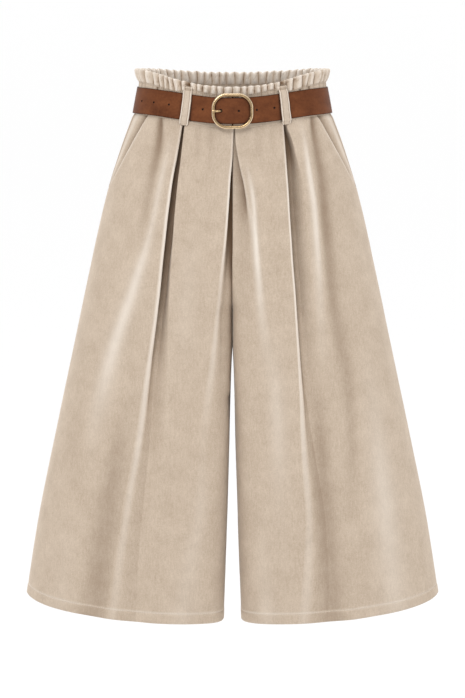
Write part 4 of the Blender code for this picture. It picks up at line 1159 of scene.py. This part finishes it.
thread = thread_finish()
for facing, grids, panel_rows, first in (
    ("front", front_grids, FRONT_ROWS, 1),
    ("back", back_grids, BACK_ROWS, 5),
):
    hem_row = panel_drops(panel_rows).index(HEM_DROP - HEM_DEPTH)
    for side_name in ("left", "right"):
        grid = grids[side_name]
        line = laid_on(grid, hem_row, first, len(grid[0]) - 5, facing)
        stitches("hem_stitching_" + facing + "_" + side_name, line)

# The ruffle's gathering row, front and back, on the row of the band's grid that is stitched.
HEADER_ROW = 12
for half, grid in waist_grids.items():
    line = []
    for point in grid[HEADER_ROW][3:-3]:
        outward = (point - Vector((0.0, 0.0, point.z))).normalized()
        line.append((point + outward * (BAND_CLOTH / 2 + 0.1), outward))
    stitches("header_stitching_" + half, line, 3.0, 2.2)

# ---------------------------------------------------------------- belt strap
# One strap of waxed brown leather with burnished edges. Its fixed end folds round the buckle's bar, and its
# free end passes back over it through the ring, with a row of punched holes, and is tucked under the
# wearer's left loop.

HALF_BELT = BELT_HEIGHT / 2
HOLE_PITCH = 25.5
HOLE_RADIUS = 1.6
PRONG_HOLE_RADIUS = 2.6
PRONG_ALONG = 16.6
BAR_OUT = 5.1
STRAP_ON_BAR = 7.5
Strap = namedtuple("Strap", "along out")
FREE_END = table_of(Strap, (-80, STRAP_ON_STRAP), (-58, STRAP_ON_STRAP), (-44, 6.5), (-30, 8.7), (-20, 9.7),
                    (0, 9.7), (20, 10.3), (28, 10.4), (36, 8.4), (48, 4.6), (58, STRAP_ON_BAND))
FIXED_END = table_of(Strap, (-60, STRAP_ON_BAND), (-44, 4.2), (-30, 5.9), (-20, 7.0), (-12, STRAP_ON_BAR),
                     (0, STRAP_ON_BAR))
STRAP_RISES = (-19.0, -18.7, -18.2, -17.4, -16, -14.4, -12.6, -10, -7, -3.5, 0, 3.5, 7, 10, 12.6, 14.4,
               16, 17.4, 18.2, 18.7, 19.0)


def shine(tree, surface, strength, least, most):
    """A roughness that runs from one value to another with a pattern's strength."""
    made = shader_node(tree, "ShaderNodeMapRange")
    made.inputs["To Min"].default_value = least
    made.inputs["To Max"].default_value = most
    tree.links.new(strength, made.inputs["Value"])
    tree.links.new(made.outputs["Result"], surface.inputs["Roughness"])


def leather():
    """Waxed leather: mottled brown, fine grain, dark burnished edges, painted shadow by loops and ring."""
    hide, tree, surface = bare_finish("waxed_brown_leather", Specular_IOR_Level=0.10)
    link = tree.links.new
    place = shader_node(tree, "ShaderNodeTexCoord").outputs["Object"]
    long = pattern(tree, place, "ShaderNodeMapping", "Vector", Scale=(1.0, 1.0, 1.7))
    clouds = pattern(tree, long, Scale=34.0, Detail=5.0, Roughness=0.6)
    flecks = pattern(tree, place, Scale=300.0, Detail=3.0, Roughness=0.65)
    tones = two_tones(tree, between(tree, clouds, flecks, 0.35), (0.081, 0.0235, 0.0085),
                      (0.186, 0.062, 0.0225), 0.30, 0.70)
    # Darker along the burnished edges, with painted shadow beside the loops and inside the ring.
    edge = shader_node(tree, "ShaderNodeAttribute", attribute_name="painted_light_and_tone").outputs["Fac"]
    link(laid_over(tree, tones, (0.022, 0.007, 0.003), edge), surface.inputs["Base Color"])
    shine(tree, surface, flecks, 0.46, 0.62)
    pores = pattern(tree, place, "ShaderNodeTexVoronoi", "Distance", Scale=1100.0, feature="DISTANCE_TO_EDGE")
    grain = relief(tree, pores, 0.25, 0.0002)
    creases = relief(tree, clouds, 0.3, 0.0008)
    link(grain.outputs["Normal"], creases.inputs["Normal"])
    link(creases.outputs["Normal"], surface.inputs["Normal"])
    return hide


def smoothed(piece, degrees):
    """Shades a piece smooth, apart from edges sharper than an angle."""
    chosen(piece)
    bpy.ops.object.shade_smooth_by_angle(angle=math.radians(degrees))


def strap_run():
    """The strap's line of lengths along it and distances outwards, from its tip to its end behind the bar."""
    line = [(along, read(FREE_END, along, "out")) for along in [-80.0, -78.5, -76.5, -74.0, -71.0, -68.0] +
            spread(-68.0, 58.0, 84)]
    line += [(along, STRAP_ON_BAND) for along in spread(58.0, waist_round - 60.0, 380)]
    line += [(waist_round + along, read(FIXED_END, along, "out")) for along in spread(-60.0, -2.0, 22)]
    bend = STRAP_ON_BAR - BAR_OUT
    line += turned((waist_round, BAR_OUT), bend, 90, -90, 13)
    return line + [(waist_round - along, BAR_OUT - bend) for along in spread(0.0, 28.0, 10)]


# The share of its full width that the strap has in the first rows of its rounded tip.
TIP_WIDTHS = {0: 0.20, 1: 0.42, 2: 0.62, 3: 0.79, 4: 0.92, 5: 0.98}
# The inside of the buckle's ring: half its width, half its height, and how square its oval is.
RING_INSIDE = (25.4, 20.4, 3.2)
hide = leather()
wide, high, square = RING_INSIDE
grid, edge_tone_and_painted_shadow = [], []
for i, (along, out) in enumerate(strap_run()):
    row, edge_tone_and_painted_shadow_row = [], []
    for rise in STRAP_RISES:
        wobble = 0.22 * noise.noise(Vector((along * 0.04, math.copysign(3.0, rise), 1.0)))
        beyond = abs(rise) / HALF_BELT
        cup = -0.25 * beyond**6 + 0.25 * noise.noise(Vector((along * 0.02, rise * 0.05, 8.0)))
        level = rise * TIP_WIDTHS.get(i, 1.0) + wobble * beyond**3
        row.append(at_waist(-along, level, out + cup))
        # Painted shadow beside each loop and along the inside of the ring, and darker burnished edges.
        painted_light_and_mottle = 0.0
        for beside_loop in LOOPS:
            beside = (beside_loop.reach + along + waist_round / 2) % waist_round - waist_round / 2
            inner = beside * beside_loop.reach > 0
            painted_light_and_mottle += (0.9 if inner else 0.45) * math.exp(-(((abs(beside) - 7.2) / 1.7) ** 2))
        within = 1 - ((abs(along) / wide) ** square + (abs(rise) / high) ** square) ** (1 / square)
        painted_light_and_mottle += 0.8 * math.exp(-((within * 22 / 1.8) ** 2))
        edge_tone_and_painted_shadow_row.append(min(painted_light_and_mottle + (0.85 if abs(rise) > 18.5 else 0.35 if abs(rise) > 18.0 else 0.0), 1.0))
    grid.append(row)
    edge_tone_and_painted_shadow.append(edge_tone_and_painted_shadow_row)
strap = cloth_from_grid("leather_strap", grid, edge_tone_and_painted_shadow, BELT_LEATHER, hide, True)
rounded = strap.modifiers.new("rounded_edges", "BEVEL")
rounded.width = 0.45 * MM
rounded.segments = 2
rounded.limit_method = "ANGLE"
rounded.angle_limit = math.radians(60)
bpy.ops.object.modifier_apply(modifier=rounded.name)

# The wall of a punched hole: matt fibres, painted near black as the shade inside the hole.
hole_wall, tree, surface = bare_finish("punched_hole_wall_painted_dark", Roughness=0.9)
fibres = shader_node(tree, "ShaderNodeTexNoise", Scale=1500.0).outputs["Fac"]
painted_hole_shade_tones = two_tones(tree, fibres, (0.008, 0.003, 0.002), (0.022, 0.009, 0.005))
tree.links.new(painted_hole_shade_tones, surface.inputs["Base Color"])

for k in range(-3, 6):
    along = PRONG_ALONG + k * HOLE_PITCH
    out = read(FREE_END, along, "out")
    mouth, through = at_waist(-along, 0.0, out + 1.6), at_waist(-along, 0.0, out - 0.6)
    radius = PRONG_HOLE_RADIUS if k == 0 else HOLE_RADIUS
    axis = mouth - through
    bpy.ops.object.select_all(action="DESELECT")
    bpy.ops.mesh.primitive_cylinder_add(
        vertices=28, radius=radius * MM, depth=axis.length * MM,
        location=(mouth + through) / 2 * MM, rotation=axis.to_track_quat("Z", "Y").to_euler())
    punch = bpy.context.object
    punch.data.materials.append(hole_wall)
    chosen(strap)
    hole = strap.modifiers.new("hole", "BOOLEAN")
    hole.object = punch
    hole.material_mode = "TRANSFER"
    bpy.ops.object.modifier_apply(modifier=hole.name)
    bpy.data.objects.remove(punch, do_unlink=True)
smoothed(strap, 40)
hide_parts("belt_strap")
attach(strap, "root")

# ---------------------------------------------------------------- buckle
# A cast oval ring plated in pale gold, with a centre bar bent back behind the strap. A flat prong hooks
# round the bar, comes up through the strap's hole and rests on the ring.

BUCKLE_WIDTH = 60.2
BUCKLE_HEIGHT = 51.0
BUCKLE_WIRE = 4.6
BUCKLE_WIRE_DEPTH = 3.3
BUCKLE_CORNER = 20.5
RING_OUT = 12.4
BAR_RADIUS = 1.2


def at_buckle(x, rise, out):
    """A point in the buckle's own plane, which leans as the front of the waist does."""
    lean = (read(RINGS, -HALF_BELT, "front") - read(RINGS, HALF_BELT, "front")) / BELT_HEIGHT
    return Vector((x, -read(RINGS, 0.0, "front") + lean * rise - out, rise - BELT_SAG.front))


def pale_gold():
    """Polished pale gold plating, faintly wavy as cast, painted bright outside and dark inside."""
    gold, tree, surface = bare_finish("pale_gold_plating", Metallic=1.0)
    place = shader_node(tree, "ShaderNodeTexCoord").outputs["Object"]
    painted_light_and_mottle = pattern(tree, place, Scale=180.0, Detail=4.0, Roughness=0.6)
    tones = two_tones(tree, painted_light_and_mottle, (0.52, 0.35, 0.18), (0.68, 0.49, 0.28), 0.3, 0.7)
    # An attribute paints a highlight on the ring's outer faces and a dark reflection on its inner faces.
    tone_and_painted_light = shader_node(tree, "ShaderNodeAttribute", attribute_name="painted_light_and_tone").outputs["Fac"]
    gold_painted_highlight = laid_over(tree, tones, (0.98, 0.84, 0.62), clamped(tree, tone_and_painted_light, 0.8))
    gold_painted_dark_reflection = laid_over(tree, gold_painted_highlight, (0.10, 0.045, 0.018), clamped(tree, tone_and_painted_light, -1.0))
    tree.links.new(gold_painted_dark_reflection, surface.inputs["Base Color"])
    shine(tree, surface, painted_light_and_mottle, 0.22, 0.30)
    cast = pattern(tree, place, Scale=90.0, Detail=2.0)
    tree.links.new(relief(tree, cast, 0.04, 0.0002).outputs["Normal"], surface.inputs["Normal"])
    return gold


def placed(piece, ways):
    """Moves a piece's mesh from its own millimetres to the buckle's place, its axes along three ways."""
    origin = at_buckle(0, 0, 0)
    lines = [(*(way[i] for way in ways), origin[i]) for i in range(3)]
    to_frame = Matrix((*lines, (0, 0, 0, 1)))
    piece.data.transform(Matrix.Scale(MM, 4) @ to_frame)


gold = pale_gold()
x_way = at_buckle(1, 0, 0) - at_buckle(0, 0, 0)
rise_way = at_buckle(0, 1, 0) - at_buckle(0, 0, 0)
out_way = at_buckle(0, 0, 1) - at_buckle(0, 0, 0)

bpy.ops.object.select_all(action="DESELECT")
bpy.ops.mesh.primitive_plane_add(size=1.0)
ring = bpy.context.object
ring.name = "buckle_oval_ring"
ring.data.name = ring.name
ring.data.transform(Matrix.Diagonal((BUCKLE_WIDTH, BUCKLE_HEIGHT, 1.0, 1.0)))
bpy.ops.object.mode_set(mode="EDIT")
bpy.ops.mesh.select_all(action="SELECT")
bpy.ops.mesh.bevel(offset=BUCKLE_CORNER, offset_type="OFFSET", segments=24, affect="VERTICES", profile=0.48)
bpy.ops.mesh.select_all(action="SELECT")
bpy.ops.mesh.inset(thickness=BUCKLE_WIRE)
bpy.ops.mesh.delete(type="FACE")
bpy.ops.mesh.select_all(action="SELECT")
bpy.ops.mesh.extrude_region_move(TRANSFORM_OT_translate={"value": (0, 0, BUCKLE_WIRE_DEPTH)})
bpy.ops.mesh.select_all(action="SELECT")
bpy.ops.mesh.normals_make_consistent(inside=False)
bpy.ops.object.mode_set(mode="OBJECT")
ring.data.transform(Matrix.Translation((0, 0, RING_OUT - BUCKLE_WIRE_DEPTH / 2)))
rounded = ring.modifiers.new("rounded_section", "BEVEL")
rounded.width = 1.6
rounded.segments = 6
rounded.limit_method = "ANGLE"
rounded.angle_limit = math.radians(50)
bpy.ops.object.modifier_apply(modifier=rounded.name)
# A painted highlight on the ring's outer faces and a painted dark reflection on its inner faces.
painted_light_and_mottle = ring.data.attributes.new("painted_light_and_tone", "FLOAT", "POINT")
for vertex in ring.data.vertices:
    painted_light_and_mottle.data[vertex.index].value = vertex.normal.xy.dot(vertex.co.xy.normalized())
placed(ring, (x_way, rise_way, out_way))
ring.data.materials.append(gold)
smoothed(ring, 40)
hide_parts("buckle_ring")
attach(ring, "root")

knee = HALF_BELT + BAR_RADIUS + 0.7
half_height = (BUCKLE_HEIGHT - BUCKLE_WIRE) / 2
bar_path = [(half_height, RING_OUT), (knee + 0.9, RING_OUT - 2.6), (knee + 0.2, BAR_OUT + 1.6),
            (knee - 1.6, BAR_OUT)]
bar_path += [(0.0, BAR_OUT)] + [(-rise, out) for rise, out in reversed(bar_path)]
prong_path = turned((0.0, BAR_OUT), BAR_RADIUS + 1.05, -160, 90, 12)
prong_path += [(-6.5, 7.35), (-13.0, 7.4), (-15.8, 8.9), (-18.0, 11.3), (-20.4, 13.6), (-23.5, 15.0),
               (-26.5, 15.3), (-29.3, 15.1)]
for name, path, flat, round_off in (
    ("buckle_bar", [(0.0, out, rise) for rise, out in bar_path], 0.0, BAR_RADIUS),
    ("buckle_tongue", [(x, out, 0.0) for x, out in prong_path], 0.85, 0.72),
):
    curve = bpy.data.curves.new(name, "CURVE")
    curve.dimensions = "3D"
    curve.twist_mode = "Z_UP" if flat else "MINIMUM"
    curve.extrude = flat
    curve.bevel_depth = round_off
    curve.bevel_resolution = 5
    curve.use_fill_caps = True
    spline = curve.splines.new("NURBS")
    spline.points.add(len(path) - 1)
    for point, spot in zip(spline.points, path):
        point.co = (*spot, 1.0)
    spline.use_endpoint_u = True
    spline.order_u = 3
    spline.resolution_u = 6
    wire = bpy.data.objects.new(name, curve)
    bpy.context.scene.collection.objects.link(wire)
    chosen(wire)
    bpy.ops.object.convert(target="MESH")
    wire = bpy.context.object
    wire.data.name = name
    placed(wire, (x_way, out_way, rise_way))
    wire.data.flip_normals()
    wire.data.materials.clear()
    wire.data.materials.append(gold)
    smoothed(wire, 40)
    if name == "buckle_tongue":
        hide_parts("buckle_prong")
    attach(wire, "root")

# ---------------------------------------------------------------- floor, light and camera
# The garment floats over a wide white floor, as in a studio. A broad soft light comes from the front left and
# a weaker one from the front right, and the camera looks a little down on it.

white, tree, surface = bare_finish("white_floor", Roughness=0.9, Specular_IOR_Level=0.1)
grit = shader_node(tree, "ShaderNodeTexNoise", Scale=3.0).outputs["Fac"]
paper = two_tones(tree, grit, (0.93, 0.93, 0.93), (0.95, 0.95, 0.95))
tree.links.new(paper, surface.inputs["Base Color"])
bpy.ops.object.select_all(action="DESELECT")
bpy.ops.mesh.primitive_plane_add(size=400.0, location=(0, 0, -1.15))
floor = bpy.context.object
floor.name = "floor"
floor.data.materials.append(white)

world = bpy.data.worlds.new("studio")
bpy.context.scene.world = world
world.use_nodes = True
tree = world.node_tree
tree.nodes["Background"].inputs["Color"].default_value = (1.0, 1.0, 1.0, 1.0)
way = shader_node(tree, "ShaderNodeTexCoord")
split = shader_node(tree, "ShaderNodeSeparateXYZ")
tree.links.new(way.outputs["Generated"], split.inputs["Vector"])
# The world is dimmest in front of the garment, and brightest behind it and overhead.
behind = shader_node(tree, "ShaderNodeMapRange")
above = shader_node(tree, "ShaderNodeMapRange")
for node, socket, low, high, least in ((behind, "Y", -0.75, 0.15, 0.31), (above, "Z", 0.35, 0.85, 0.0)):
    for name, value in (("From Min", low), ("From Max", high), ("To Min", least), ("To Max", 1.23)):
        node.inputs[name].default_value = value
    tree.links.new(split.outputs[socket], node.inputs["Value"])
brighter = shader_node(tree, "ShaderNodeMath", operation="MAXIMUM")
tree.links.new(behind.outputs["Result"], brighter.inputs[0])
tree.links.new(above.outputs["Result"], brighter.inputs[1])
tree.links.new(brighter.outputs[0], tree.nodes["Background"].inputs["Strength"])

for name, place, aim, size, power in (
    ("key_light", (-1.0, -3.7, 2.3), (0.0, 0.0, -0.35), 1.6, 66.0),
    ("fill_light", (2.6, -3.2, 0.8), (0.0, 0.0, -0.40), 2.0, 14.0),
):
    lamp = bpy.data.lights.new(name, "AREA")
    lamp.shape = "DISK"
    lamp.size = size
    lamp.energy = power
    light = bpy.data.objects.new(name, lamp)
    light.location = place
    light.rotation_euler = (Vector(aim) - Vector(place)).to_track_quat("-Z", "Y").to_euler()
    bpy.context.scene.collection.objects.link(light)

CAMERA_DISTANCE = 6.0
CAMERA_RAISED = math.radians(5.4)
camera_data = bpy.data.cameras.new("camera")
camera_data.lens = 209.0
camera_data.sensor_fit = "VERTICAL"
camera_data.sensor_height = 36.0
camera = bpy.data.objects.new("camera", camera_data)
target = Vector((0.0, 0.0, -0.3685))
away = CAMERA_DISTANCE * math.cos(CAMERA_RAISED)
camera.location = target + Vector((0.0, -away, CAMERA_DISTANCE * math.sin(CAMERA_RAISED)))
camera.rotation_euler = (target - camera.location).to_track_quat("-Z", "Y").to_euler()
bpy.context.scene.collection.objects.link(camera)
bpy.context.scene.camera = camera
bpy.context.scene.view_settings.view_transform = "Standard"
